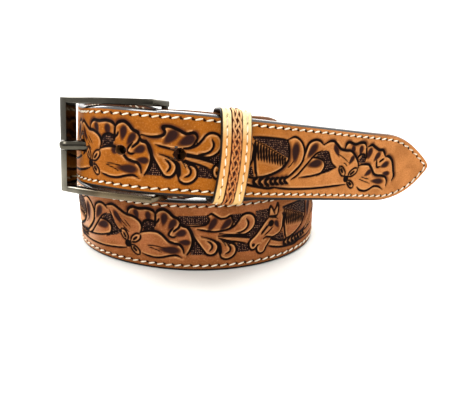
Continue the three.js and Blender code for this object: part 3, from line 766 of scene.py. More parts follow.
# How much bigger the shaded pears are than their dents
PEAR_SPREAD = 1.32

# How deep the tooling goes, in mm, and how far its shading reaches
CUT_DEPTH = 0.5
PEAR_DEPTH = 0.45
GROUND_DEPTH = 0.35
BEVEL_DEPTH = 0.3
BEVEL_REACH = 1.6
CHANNEL_DEPTH = 0.15
CHANNEL_HALF_WIDTH = 0.8
AWL_DEPTH = 0.5
GREATEST_DEPTH = 0.85
SHADE_OUTSIDE = 0.75
SHADE_WIDE = 1.7
SHADE_INSIDE = 0.55
RIM_AT = 0.9
RIM_WIDTH = 0.4
OUTLINE_WIDTH = 1.05
CURVE_STEPS = 5


def curve_through(line):
    """Points close together on a smooth curve through the given ones."""
    p = np.array(line, float)
    ends = np.vstack([2 * p[0] - p[1], p, 2 * p[-1] - p[-2]])
    t = np.linspace(0, 1, CURVE_STEPS, endpoint=False)[:, None]
    pieces = []
    for a, b, c, d in zip(ends, ends[1:], ends[2:], ends[3:]):
        square, cube = 2 * a - 5 * b + 4 * c - d, 3 * b - a - 3 * c + d
        pieces.append(0.5 * (2 * b + (c - a) * t + square * t**2 + cube * t**3))
    return np.vstack(pieces + [p[-1:]])


def inside_outline(points, outline):
    """Distance inside a closed outline, less than none outside it."""
    corners = np.vstack([outline, outline[:1]])
    far, _, _ = distance_to_line(points, corners)
    inside = np.zeros(len(points), bool)
    for a, b in zip(corners, corners[1:]):
        crosses = (a[1] > points[:, 1]) != (b[1] > points[:, 1])
        rise = np.where(abs(b[1] - a[1]) < 1e-9, 1e-9, b[1] - a[1])
        inside ^= crosses & (points[:, 0] < a[0] + (points[:, 1] - a[1]) / rise * (b[0] - a[0]))
    return np.where(inside, far, -far)


def pear_shape(points, pear):
    """A dent like a drop: full at its round head, fading along its tail."""
    turn = math.radians(pear.tail)
    offset = points - np.array(pear.at)
    u = offset @ np.array([math.cos(turn), math.sin(turn)])
    v = offset @ np.array([-math.sin(turn), math.cos(turn)])
    half = pear.length / 2 * PEAR_SPREAD
    reach = np.where(u < 0, half, half * 1.5)
    width = pear.width / 2 * PEAR_SPREAD * np.where(u < 0, 1, 1 - 0.35 * np.clip(u / reach, 0, 1))
    return 1 - np.hypot(u / reach, v / width)


def cut_fields(points, line, width):
    """The fields of one cut, whose shade and slope lie on the outside of its bend and its rim inside."""
    far, share, hollow = distance_to_line(points, line)
    taper = 0.45 + 0.55 * smooth(np.minimum(share, 1 - share), 0, 0.18)
    outside = 0.5 - 0.5 * hollow
    strength = smooth(width, 0.5, OUTLINE_WIDTH) * taper
    widest = SHADE_OUTSIDE + (SHADE_WIDE - SHADE_OUTSIDE) * smooth(width, 1.1, 1.4)
    reach = SHADE_INSIDE + (widest - SHADE_INSIDE) * outside
    return {
        "cut": width / 2 * taper - far,
        "shade": strength * np.exp(-((far / reach) ** 2)),
        "bevel": strength * outside * np.exp(-far / BEVEL_REACH),
        "rim": strength * (1 - outside) * np.exp(-(((far - RIM_AT) / RIM_WIDTH) ** 2)),
    }


def mark_line(mark):
    """The points that a mark is charted by."""
    if isinstance(mark, Cut):
        return curve_through(mark.line)
    return np.array(mark.outline if isinstance(mark, Ground) else [mark.at], float)


def mark_fields(points, mark, line):
    """What one mark gives each point."""
    if isinstance(mark, Cut):
        return cut_fields(points, line, mark.width)
    if isinstance(mark, Pear):
        return {"pear": pear_shape(points, mark)}
    if isinstance(mark, Dot):
        return {"cut": mark.radius - np.linalg.norm(points - line[0], axis=1)}
    return {"ground": inside_outline(points, line)}


def tooling(along, across):
    """The tooling's fields on the flat strap, each the greatest that any mark gives."""
    fields = {name: np.full(len(along), value) for name, value in NO_TOOLING.items()}
    for stamp in STAMPS:
        chosen = np.nonzero(np.abs(along - stamp.at) < STAMP_REACH)[0]
        points = np.stack([(along[chosen] - stamp.at) / stamp.stretch, across[chosen] / stamp.rise], -1)
        for mark in stamp.motif:
            line = mark_line(mark)
            reach = MARK_REACH[type(mark)]
            near = np.all((points > line.min(0) - reach) & (points < line.max(0) + reach), axis=1)
            if near.any():
                at = chosen[near]
                for name, values in mark_fields(points[near], mark, line).items():
                    fields[name][at] = np.maximum(fields[name][at], values)
    return fields


# Stitching: rows at these heights, with known stitches as (count, distance along), at an even pitch between
LOW_ROW_HEIGHT = 3.05
TOP_ROW_HEIGHT = 35.05
STITCH_PITCH = 4.6
LOW_ROW_MARKS = [(0, 296.2), (30, 435.7), (92, 722.9), (108, 796.1), (114, 822.7), (132, 905.2)]
TOP_ROW_MARKS = [(0, 350.8), (20, 443.8), (87, 754.2), (120, 905.4)]
ROW_START = 4
ROW_INSET = 2.75
STITCH_SIZE = (1.78, 0.42, 0.34)
STITCH_SLANT = 15
STITCH_PROUD = 0.12
AWL_HOLE = (0.8, 0.4)
AWL_SLANT = -40
AWL_INSET = 0.15


def row_positions(marks):
    counts, at = zip(*marks)
    first = -int((at[0] - ROW_START) / STITCH_PITCH)
    numbers = np.arange(first, counts[-1] + 1)
    places = np.interp(numbers, counts, at)
    return np.where(numbers < 0, at[0] + numbers * STITCH_PITCH, places)


def tip_row():
    """The stitches round the tip, from the last of the top row to the last of the low row."""
    s, half = tip_outline(TOP_ROW_MARKS[-1][1])
    middle = middle_height(s)
    edge = np.vstack([np.stack([s, middle + half], -1), np.stack([s, middle - half], -1)[-2::-1]])
    steps = np.concatenate([[0], np.cumsum(np.linalg.norm(np.diff(edge, axis=0), axis=1))])
    even = np.linspace(0, steps[-1], 240)
    edge = np.stack([np.interp(even, steps, edge[:, k]) for k in range(2)], -1)
    ways = unit(np.gradient(edge, axis=0))
    inset = edge + np.stack([ways[:, 1], -ways[:, 0]], -1) * ROW_INSET
    steps = np.concatenate([[0], np.cumsum(np.linalg.norm(np.diff(inset, axis=0), axis=1))])
    count = round(steps[-1] / STITCH_PITCH)
    at = np.arange(1, count) * steps[-1] / count
    points = np.stack([np.interp(at, steps, inset[:, k]) for k in range(2)], -1)
    turned = np.stack([np.interp(at, steps, ways[:, k]) for k in range(2)], -1)
    return points, unit(turned)


def stitch_plan():
    """Every stitch on the flat strap: its middle, the row's way there and the way in from the edge."""
    plan = []
    for marks, height, inner in ((LOW_ROW_MARKS, LOW_ROW_HEIGHT, 1), (TOP_ROW_MARKS, TOP_ROW_HEIGHT, -1)):
        for s in row_positions(marks):
            plan.append((s, height, 1.0, 0.0, 0.0, float(inner)))
    points, ways = tip_row()
    for (s, height), (x, y) in zip(points, ways):
        plan.append((s, height, x, y, y, -x))
    return np.array(plan)


def awl_holes(along, across, plan):
    """How deep in an awl hole each point lies, 1 in its middle; the holes are at the stitches' ends."""
    inside = np.zeros(len(along))
    slant = complex(math.cos(math.radians(AWL_SLANT)), math.sin(math.radians(AWL_SLANT)))
    half_length, half_width_of_hole = AWL_HOLE
    for s, height, x, y, in_x, in_y in plan:
        middle = complex(s, height) + complex(x, y) * STITCH_PITCH / 2 + complex(in_x, in_y) * AWL_INSET
        near = np.nonzero((np.abs(along - middle.real) < 2) & (np.abs(across - middle.imag) < 2))[0]
        offset = (along[near] + 1j * across[near] - middle) / (complex(x, y) * slant)
        depth = 1.5 - np.hypot(offset.real / half_length, offset.imag / half_width_of_hole)
        inside[near] = np.maximum(inside[near], depth)
    return np.clip(inside, 0, 1)


def hole_shade(along, across):
    """How dark the leather is painted in and round the punched holes: painted shade on their walls and a
    thin ring round them.
    """
    dark = np.zeros(len(along))
    for hole in HOLES:
        straight = max(hole.length - hole.width, 0) / 2
        off = np.maximum(np.abs(along - hole.at) - straight, 0)
        far = np.hypot(off, across - STRAP_WIDTH / 2) - hole.width / 2
        dark = np.maximum(dark, smooth(far, 0.35, 0.1))
    return dark


def tool_strap(mesh, plan):
    """Presses the tooling and the stitch rows into the outer face, and keeps the fields for the shader."""
    along, across, depth = (read_values(mesh, name) for name in ("along", "across", "depth"))
    points = read_points(mesh) / MM
    face = (depth < 0.02) & (along > 0)
    from_edge = edge_distance(along, across)
    fields = {name: np.full(len(along), value) for name, value in NO_TOOLING.items()}
    for name, values in tooling(along[face], across[face]).items():
        fields[name][face] = values
    awl = np.zeros(len(along))
    awl[face] = awl_holes(along[face], across[face], plan)
    row_gap = np.abs(from_edge - LOW_ROW_HEIGHT)
    channel = np.exp(-((row_gap / CHANNEL_HALF_WIDTH) ** 2)) * face
    pressed = (
        CUT_DEPTH * smooth(fields["cut"], -0.35, 0.3)
        + PEAR_DEPTH * smooth(fields["pear"], -0.1, 0.8)
        + GROUND_DEPTH * smooth(fields["ground"], 0, 0.9)
        + BEVEL_DEPTH * fields["bevel"]
        + CHANNEL_DEPTH * channel
        + AWL_DEPTH * awl
    )
    pressed = np.minimum(pressed, GREATEST_DEPTH) * face * smooth(from_edge, 0.8, 1.6)
    _, _, out, _ = place_at(np.clip(along, 0, STRAP_LENGTH))
    write_points(mesh, (points - out * pressed[:, None]) * MM)
    for name, values in fields.items():
        write_values(mesh, name, values)
    # Painted shade: the awl holes and the punched holes' walls are darkened
    write_values(mesh, "awl", np.maximum(awl, hole_shade(along, across)))
    write_values(mesh, "from_edge", from_edge)
    write_values(mesh, "inner_side", smooth(depth, 1.2, 2.0))


def stitch_grain():
    """One stitch lying along x: a grain of thread whose ends turn down into their holes."""
    bm = bmesh.new()
    bmesh.ops.create_uvsphere(
        bm, u_segments=8, v_segments=7, radius=1, matrix=Matrix.Rotation(math.pi / 2, 4, "Y")
    )
    for vert in bm.verts:
        vert.co.z -= 0.5 * vert.co.x**4
    return finish_mesh(bm, "stitch")


def joined_copies(prototype, matrices, name):
    """One mesh that holds the prototype at each of the places."""
    points = read_points(prototype)
    faces = [tuple(face.vertices) for face in prototype.polygons]
    placed = [points @ m[:3, :3].T + m[:3, 3] for m in matrices]
    joined = [tuple(v + k * len(points) for v in face) for k in range(len(matrices)) for face in faces]
    mesh = bpy.data.meshes.new(name)
    mesh.from_pydata(np.concatenate(placed).tolist(), [], joined)
    mesh.polygons.foreach_set("use_smooth", [True] * len(mesh.polygons))
    bpy.data.meshes.remove(prototype)
    return mesh


def grain_place(centre, run, normal, size):
    """The matrix, to metres, that lays a stitch of a size on its centre, along run and facing normal."""
    matrix = np.eye(4)
    matrix[:3, :3] = np.column_stack([run, np.cross(normal, run), normal]) * np.array(size) * MM
    matrix[:3, 3] = centre * MM
    return matrix


def stitching(plan):
    """The thread, outside and inside the strap, as one mesh."""
    slant = math.radians(STITCH_SLANT)
    places = []
    for s, height, x, y, _, _ in plan:
        point, along, out, up = frame_at(s)
        way = along * x + up * y
        side = np.cross(out, way)
        run = way * math.cos(slant) + side * math.sin(slant)
        for normal, depth in ((out, 0.0), (-out, thickness_at(s))):
            centre = point + up * height - out * depth + normal * STITCH_PROUD
            places.append(grain_place(centre, run, normal, STITCH_SIZE))
    return joined_copies(stitch_grain(), places, "stitching")


# Keeper, in mm; its own axes are x out of the strap, y up and z back along the strap
KEEPER_AT = 806.9
KEEPER_WIDTH = 15
KEEPER_WALL = 1.9
KEEPER_INNER = (9.1, 40.2)
KEEPER_CORNER = 2
KEEPER_PLAY = 0.7
KEEPER_RISE = 0.6
KEEPER_TWIST = -0.3
KEEPER_BOW = 1.6
KEEPER_SEGMENTS = 200
KEEPER_ROWS = 30
KEEPER_STITCH_ROWS = [(-4.9, 0.0), (4.9, 0.5)]
KEEPER_STITCH_PITCH = 4.5
KEEPER_STITCH_SIZE = (1.75, 0.4, 0.34)
KEEPER_SLANT = 0.12
PRICK_SIZE = (0.6, 0.32)
PRICK_SLOPE = 0.6
BRAID_CHANNEL = 0.55
BRAID_HALF_WIDTH = 2.5
BRAID_STRANDS = 4
BRAID_REACH = 1.85
BRAID_TURNS = 5
STEPS_IN_A_TURN = 48
BRAID_SUNK = 0.12
BRAID_RISE = 0.26
LACE_SIZE = (0.62, 0.32)
LACE_SIDES = 8


def keeper_matrix():
    point, along, out, up = frame_at(KEEPER_AT)
    middle = point + up * (STRAP_WIDTH / 2 + KEEPER_RISE) + out * (KEEPER_PLAY - KEEPER_INNER[0] / 2)
    return lay(middle, out, up, -along) @ Matrix.Rotation(math.radians(KEEPER_TWIST), 4, "X")


def ring_path(distance):
    """Places round the keeper's inside and the ways out of it, by distance from the middle of its front."""
    a, b, r = KEEPER_INNER[0] / 2, KEEPER_INNER[1] / 2, KEEPER_CORNER
    flats, quarter = (b - r, 2 * (a - r), 2 * (b - r), 2 * (a - r), b - r), math.pi * r / 2
    total = sum(flats) + 4 * quarter
    starts = [((a, 0), 0), ((a - r, b), 90), ((-a, b - r), 180), ((-a + r, -b), 270), ((a, -b + r), 360)]
    centres = [(a - r, b - r), (-a + r, b - r), (-a + r, -b + r), (a - r, -b + r)]
    places, ways = [], []
    for d in np.asarray(distance) % total:
        for k, flat in enumerate(flats):
            turn = math.radians(starts[k][1])
            if d <= flat or k == 4:
                x, y = starts[k][0]
                places.append((x - d * math.sin(turn), y + d * math.cos(turn)))
                ways.append((math.cos(turn), math.sin(turn)))
                break
            d -= flat
            if d <= quarter:
                angle = turn + d / r
                x, y = centres[k]
                places.append((x + r * math.cos(angle), y + r * math.sin(angle)))
                ways.append((math.cos(angle), math.sin(angle)))
                break
            d -= quarter
    return np.array(places), np.array(ways), total


def keeper_point(distance, across, proud):
    """A point of the keeper: how far round it, how far across it and how far out from its inner face."""
    places, ways, _ = ring_path(distance)
    flat = places + ways * np.asarray(proud)[:, None]
    bow = KEEPER_BOW * np.clip(1 - (2 * places[:, 1] / KEEPER_INNER[1]) ** 2, 0, 1)
    return np.column_stack([flat, np.asarray(across) - bow])


def keeper_pricks(distance, across, total):
    """How dark each place is for the awl holes between the keeper's stitches, a painted shade."""
    pitch = total / round(total / KEEPER_STITCH_PITCH)
    dark = np.zeros(len(across))
    for row, offset in KEEPER_STITCH_ROWS:
        along = ((distance / pitch - offset) % 1 - 0.5) * pitch
        slanted = across - row + along * PRICK_SLOPE
        dark = np.maximum(dark, 1.5 - np.hypot(along / PRICK_SIZE[0], slanted / PRICK_SIZE[1]))
    return np.clip(dark, 0, 1)


def keeper_band():
    """The keeper's leather: a closed strip with rounded edges and a channel under its braid."""
    _, _, total = ring_path([0])
    half, wall, r = KEEPER_WIDTH / 2, KEEPER_WALL, 0.8
    section = [(x, wall) for x in np.linspace(-half + r, half - r, KEEPER_ROWS + 1)]
    section += [(half - r + r * math.sin(t), wall - r + r * math.cos(t)) for t in np.radians([30, 60, 90])]
    section += [(half, 0.25), (half - 0.25, 0), (0, 0), (-half + 0.25, 0), (-half, 0.25)]
    section += [(-half + r - r * math.sin(t), wall - r + r * math.cos(t)) for t in np.radians([90, 60, 30])]
    section = np.array(section + section[:1])
    mesh, column, row = grid_mesh("keeper", KEEPER_SEGMENTS + 1, len(section))
    distance = column / KEEPER_SEGMENTS * total
    across, proud = section[row].T
    outer = proud > wall - 0.01
    proud = proud - BRAID_CHANNEL * smooth(BRAID_HALF_WIDTH + 0.5 - np.abs(across), 0, 0.6) * outer
    local = keeper_point(distance, across, proud)
    matrix = np.array(keeper_matrix())
    write_points(mesh, (local @ matrix[:3, :3].T + matrix[:3, 3]) * MM)
    write_values(mesh, "round", distance)
    write_values(mesh, "from_front", np.minimum(distance, total - distance))
    write_values(mesh, "width_at", across)
    write_values(mesh, "prick", keeper_pricks(distance, across, total))
    write_values(mesh, "outer", outer.astype(float))
    return close_mesh(mesh)


def keeper_braid():
    """Four laces plaited down the keeper's middle, each a flat strand that passes over and under."""
    _, _, total = ring_path([0])
    steps = BRAID_TURNS * STEPS_IN_A_TURN
    distance = np.arange(steps + 1) / steps * total
    _, outward, _ = ring_path(distance)
    normal = np.column_stack([outward, np.zeros(steps + 1)])
    matrix = keeper_matrix()
    bm = bmesh.new()
    crown = bm.verts.layers.float.new("crown")
    for strand in range(BRAID_STRANDS):
        t = np.arange(steps + 1) / steps * BRAID_TURNS * 2 * math.pi + strand * 2 * math.pi / BRAID_STRANDS
        over = -np.cos(4 * t) * np.clip(3 * np.cos(t), -1, 1)
        proud = KEEPER_WALL - BRAID_SUNK + BRAID_RISE * over
        middle = keeper_point(distance, BRAID_REACH * np.sin(t), proud)
        wrapped = np.vstack([middle[-2:-1], middle, middle[1:2]])
        side = unit(np.cross(unit(np.gradient(wrapped, axis=0)[1:-1]), normal))
        made = bmesh.ops.create_grid(bm, x_segments=steps, y_segments=LACE_SIDES, size=1)["verts"]
        for vert in made:
            c = round((vert.co.x + 1) / 2 * steps)
            angle = 2 * math.pi * (round((vert.co.y + 1) / 2 * LACE_SIDES) + 0.5) / LACE_SIDES
            offset = side[c] * LACE_SIZE[0] * math.cos(angle) + normal[c] * LACE_SIZE[1] * math.sin(angle)
            vert.co = matrix @ Vector(middle[c] + offset)
            vert[crown] = 1 - abs(math.cos(angle))
    bmesh.ops.scale(bm, vec=(MM, MM, MM), verts=bm.verts)
    bmesh.ops.remove_doubles(bm, verts=bm.verts, dist=SEAM)
    bmesh.ops.recalc_face_normals(bm, faces=bm.faces)
    return finish_mesh(bm, "keeper braid")


def keeper_stitching():
    """The keeper's two rows of stitches, which lie half a stitch apart."""
    _, _, total = ring_path([0])
    count = round(total / KEEPER_STITCH_PITCH)
    matrix = np.diag([MM, MM, MM, 1]) @ np.array(keeper_matrix())
    places = []
    for across, offset in KEEPER_STITCH_ROWS:
        distances = (np.arange(count) + offset) * total / count
        middles = keeper_point(distances, np.full(count, across), np.full(count, KEEPER_WALL + 0.08))
        _, ways, _ = ring_path(distances)
        for middle, (x, y) in zip(middles, ways):
            run = unit(np.array([-y, x, KEEPER_SLANT]))
            axes = np.column_stack([run, np.cross((x, y, 0), run), (x, y, 0)])
            local = np.eye(4)
            local[:3, :3] = axes * np.array(KEEPER_STITCH_SIZE)
            local[:3, 3] = middle
            places.append(matrix @ local)
    return joined_copies(stitch_grain(), places, "keeper stitching")


# The prong's nose is worn shorter from this x, in mm, on
PRONG_NOSE_FROM = -92
PRONG_NOSE_SHARE = 0.8


# Edges between faces that meet at more than this many degrees are corners
CORNER_ANGLE = 35


def rounded_copy(node, bevel):
    """A CAD piece's own shape with its corners rounded and its curves shaded smooth."""
    bm = bmesh.new()
    bm.from_mesh(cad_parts[node].data)
    bmesh.ops.remove_doubles(bm, verts=bm.verts, dist=SEAM)
    bmesh.ops.dissolve_limit(bm, angle_limit=math.radians(1), verts=bm.verts, edges=bm.edges)
    limit = math.radians(CORNER_ANGLE)
    corners = [e for e in bm.edges if len(e.link_faces) == 2 and e.calc_face_angle() > limit]
    bmesh.ops.bevel(
        bm, geom=corners, offset=bevel * MM, offset_type="OFFSET", segments=3, profile=0.5,
        affect="EDGES", material=-1, clamp_overlap=True,
    )
    nose = PRONG_NOSE_FROM * MM
    for vert in bm.verts if node == "prong" else []:
        if vert.co.x < nose:
            vert.co.x = nose + (vert.co.x - nose) * PRONG_NOSE_SHARE
    mesh = finish_mesh(bm, node + "_polished")
    mesh.set_sharp_from_angle(angle=limit)
    return mesh


class Wire:
    """A socket in a shader that takes Python's arithmetic: each operator adds its Math node."""

    def __init__(self, shader, socket):
        self.shader = shader
        self.socket = socket

    def __add__(self, other):
        return self.shader.math("ADD", self, other)

    def __radd__(self, other):
        return self.shader.math("ADD", other, self)

    def __sub__(self, other):
        return self.shader.math("SUBTRACT", self, other)

    def __rsub__(self, other):
        return self.shader.math("SUBTRACT", other, self)

    def __mul__(self, other):
        return self.shader.math("MULTIPLY", self, other)

    def __rmul__(self, other):
        return self.shader.math("MULTIPLY", other, self)

    def __truediv__(self, other):
        return self.shader.math("DIVIDE", self, other)

    def __rtruediv__(self, other):
        return self.shader.math("DIVIDE", other, self)

    def __pow__(self, other):
        return self.shader.math("POWER", self, other)


class Shader:
    """One material, built from nodes by kind, settings and inputs."""

    def __init__(self, name):
        self.material = bpy.data.materials.new(name)
        self.material.use_nodes = True
        self.tree = self.material.node_tree
        self.tree.nodes.clear()

    def node(self, kind, settings=None, inputs=None, output=0):
        node = self.tree.nodes.new(kind)
        for name, value in (settings or {}).items():
            setattr(node, name, value)
        for name, value in (inputs or {}).items():
            if isinstance(value, Wire):
                self.tree.links.new(value.socket, node.inputs[name])
            elif value is not None:
                node.inputs[name].default_value = value
        return Wire(self, node.outputs[output])

    def math(self, operation, a, b):
        return self.node("ShaderNodeMath", {"operation": operation}, {0: a, 1: b})

    def attribute(self, name):
        return self.node("ShaderNodeAttribute", {"attribute_name": name}, output="Fac")

    def position(self):
        return self.node("ShaderNodeTexCoord", output="Object")

    def axis(self, name):
        return self.node("ShaderNodeSeparateXYZ", None, {"Vector": self.position()}, name)

    def vector(self, x, y, z=0.0):
        return self.node("ShaderNodeCombineXYZ", None, {"X": x, "Y": y, "Z": z})

    def noise(self, where, scale, detail=2.0, roughness=0.5):
        inputs = {"Vector": where, "Scale": scale, "Detail": detail, "Roughness": roughness}
        return self.node("ShaderNodeTexNoise", None, inputs, "Fac")

    def cells(self, where, scale, randomness=1.0):
        inputs = {"Vector": where, "Scale": scale, "Randomness": randomness}
        return self.node("ShaderNodeTexVoronoi", None, inputs, "Distance")

    def ramp(self, value, low, high, bottom=0.0, top=1.0):
        inputs = {"Value": value, "From Min": low, "From Max": high, "To Min": bottom, "To Max": top}
        return self.node("ShaderNodeMapRange", {"interpolation_type": "SMOOTHSTEP"}, inputs)

    def mix(self, factor, a, b, blend="MIX"):
        settings = {"data_type": "RGBA", "blend_type": blend}
        a, b = (c if isinstance(c, Wire) else (*c, 1) for c in (a, b))
        return self.node("ShaderNodeMix", settings, {0: factor, 6: a, 7: b}, 2)

    def bump(self, height, distance, strength=1.0):
        inputs = {"Height": height, "Distance": distance, "Strength": strength}
        return self.node("ShaderNodeBump", None, inputs, "Normal")

    def surface(self, **inputs):
        named = {name.replace("_", " "): value for name, value in inputs.items()}
        skin = self.node("ShaderNodeBsdfPrincipled", None, named)
        output = self.tree.nodes.new("ShaderNodeOutputMaterial")
        self.tree.links.new(skin.socket, output.inputs["Surface"])
        return self.material


# Colours, linear
HONEY = (0.52, 0.20, 0.058)
HONEY_DEEP = (0.31, 0.092, 0.008)
HONEY_DARK = (0.15, 0.042, 0.006)
HONEY_PALE = (0.66, 0.32, 0.12)
HONEY_PINK = (0.305, 0.102, 0.036)
PINK_HIGHLIGHT = (0.56, 0.33, 0.21)
BURNT = (0.085, 0.022, 0.006)
CUT_BROWN = (0.005, 0.002, 0.0015)
SHADE_PLUM = (0.034, 0.012, 0.012)
PEAR_BROWN = (0.018, 0.007, 0.007)
GROUND_BROWN = (0.011, 0.004, 0.004)
GROUND_DOT = (0.36, 0.18, 0.10)
HOLE_AND_FOLD_SHADE = (0.016, 0.005, 0.002)
FLESH_IN_SHADE = (0.085, 0.034, 0.018)
FLESH_PALE_IN_SHADE = (0.13, 0.06, 0.032)
EDGE_BLACK = (0.006, 0.004, 0.003)
EDGE_BROWN = (0.06, 0.026, 0.012)
RAW_EDGE = (0.085, 0.036, 0.012)
THREAD_CREAM = (0.62, 0.52, 0.36)
THREAD_WHITE = (0.86, 0.80, 0.66)
KEEPER_LIT_CREAM = (0.80, 0.67, 0.36)
KEEPER_TAN = (0.62, 0.29, 0.08)
KEEPER_GOLD = (0.72, 0.45, 0.17)
KEEPER_SHADE = (0.42, 0.16, 0.04)
LACE_TAN = (0.36, 0.105, 0.022)
LACE_PALE = (0.58, 0.235, 0.065)
LACE_LIT_TOP = (0.78, 0.50, 0.24)
BRAID_GAP_SHADE_RED = (0.065, 0.012, 0.004)
GUNMETAL = (0.066, 0.060, 0.047)
GUNMETAL_PALE_REFLECTION = (0.15, 0.14, 0.11)
GUNMETAL_WARM_REFLECTION = (0.15, 0.115, 0.07)
SMUDGE_AND_SHADE_BLACK = (0.006, 0.003, 0.002)
FLOOR_PALE = (0.66, 0.652, 0.628)


def tooled_leather():
    """Dyed leather with burnt cuts, plum shading and dotted grounds, a flesh side darkened as painted
    shade, and painted edges.
    """
    s = Shader("tooled leather")
    along, across, from_edge = s.attribute("along"), s.attribute("across"), s.attribute("from_edge")
    pear, shade = s.attribute("pear"), s.attribute("shade")
    flat = s.vector(along, across)
    fine = s.noise(flat, 1.15, 4, 0.75)
    mottle = s.noise(flat, 0.09, 4, 0.6)

    # The dye: deep honey, paler on the tail and pinker on the lower turn; with painted shade low on the
    # lower turn and a painted highlight on its far left end
    lower = s.ramp(along, 660, 470)
    upper = s.mix(s.ramp(along, 800, 880), HONEY_DEEP, HONEY)
    colour = s.mix(s.ramp(along, 470, 660), HONEY_PINK, upper)
    colour = s.mix(s.ramp(mottle, 0.62, 0.3) * (0.4 + lower * 0.3), colour, HONEY_DARK)
    # Painted shade: the lower turn darkens towards its bottom edge, where the floor's shadow falls
    colour = s.mix(s.ramp(across, 12, 1) * lower * 0.6, colour, HONEY_DARK)
    # Painted highlight: the lower turn's far left end is paler and pinker, where light from the left falls
    far_left_highlight = s.ramp(along, 316, 290) * s.ramp(along, 245, 280)
    colour = s.mix(far_left_highlight * lower * 0.85, colour, PINK_HIGHLIGHT)
    colour = s.mix(s.ramp(fine, 0.52, 0.78) * 0.5, colour, HONEY_PALE)
    colour = s.mix(s.ramp(fine, 0.50, 0.28) * 0.6, colour, HONEY_DARK)

    # The tooling: rims rubbed paler with a painted highlight, shading, dents, beaten grounds, cuts, and awl
    # holes and punched holes darkened as painted shade
    # Painted highlight, partly real wear: the raised rim just inside each cut is paler
    colour = s.mix(s.attribute("rim") * 0.85, colour, HONEY_PALE)
    worn_shade = shade + (fine - 0.5) * 0.5 * shade
    colour = s.mix(s.ramp(worn_shade, 0.02, 0.5) * 0.6, colour, BURNT)
    colour = s.mix(s.ramp(worn_shade, 0.3, 0.95) * 0.92, colour, SHADE_PLUM)
    colour = s.mix(s.ramp(pear, -0.3, 0.15) * 0.8, colour, BURNT)
    colour = s.mix(s.ramp(pear, -0.08, 0.4) * 0.95, colour, PEAR_BROWN)
    ground = s.ramp(s.attribute("ground"), -0.1, 0.25)
    dots = s.ramp(s.cells(flat, 1.08, randomness=0.3), 0.34, 0.12)
    colour = s.mix(ground, colour, s.mix(dots * 0.9, GROUND_BROWN, GROUND_DOT))
    colour = s.mix(s.ramp(s.attribute("cut"), -0.25, 0.1), colour, CUT_BROWN)
    # Painted shade in the awl holes and on the punched holes' walls
    colour = s.mix(s.ramp(s.attribute("awl"), 0.0, 0.5), colour, HOLE_AND_FOLD_SHADE)

    # Painted shade: the fold at the heel bar is darkened, and the flesh side is its plain colour darkened
    # for the shade inside the coil
    colour = s.mix(s.ramp(along, 14, 8), colour, HOLE_AND_FOLD_SHADE)
    flesh = s.mix(s.ramp(s.noise(flat, 0.5, 5, 0.7), 0.3, 0.75), FLESH_IN_SHADE, FLESH_PALE_IN_SHADE)
    colour = s.mix(s.attribute("inner_side"), colour, flesh)

    # The edges: raw by the fold, then painted, with the paint worn to brown behind the tip's face
    rounding = s.ramp(from_edge, 1.55, 1.3)
    raw_edge = rounding * s.ramp(along, 100, 85) * s.ramp(fine, 0.65, 0.4, 0.5, 1.0)
    colour = s.mix(raw_edge, colour, RAW_EDGE)
    nose = s.ramp(along, 880, 925)
    thin = s.ramp(s.attribute("depth"), 0.12, 0.45)
    edge = rounding * s.ramp(along, 85, 100) * (1 - nose * (1 - thin))
    colour = s.mix(edge, colour, s.mix(nose, EDGE_BLACK, EDGE_BROWN))
    top_gloss = s.ramp(across, 30, 36, 0.12, 1.0) * s.ramp(along, 722, 742, 0.25, 1.0)

    rough_edge = s.noise(s.position(), 700, 3) * edge * 0.15
    face_height = s.cells(flat, 2.2) * 0.05 + fine * 0.08 + ground * dots * 0.2
    return s.surface(
        Base_Color=colour,
        Roughness=(0.5 + fine * 0.2) * (1 - edge) + edge * 0.35,
        Normal=s.bump(face_height * (1 - edge) + rough_edge, 0.001),
        Specular_IOR_Level=0.03,
        Coat_Weight=edge * (1 - nose * 0.9) * top_gloss,
        Coat_Roughness=0.18,
        Coat_IOR=2.1,
    )


def thread():
    s = Shader("waxed thread")
    inputs = {"Vector": s.position(), "Scale": 900.0, "Distortion": 2.0}
    twist = s.node("ShaderNodeTexWave", None, inputs, "Fac")
    colour = s.mix(s.ramp(s.noise(s.position(), 400, 2), 0.35, 0.7), THREAD_CREAM, THREAD_WHITE)
    return s.surface(Base_Color=colour, Roughness=0.55, Normal=s.bump(twist, 0.0001, 0.5))


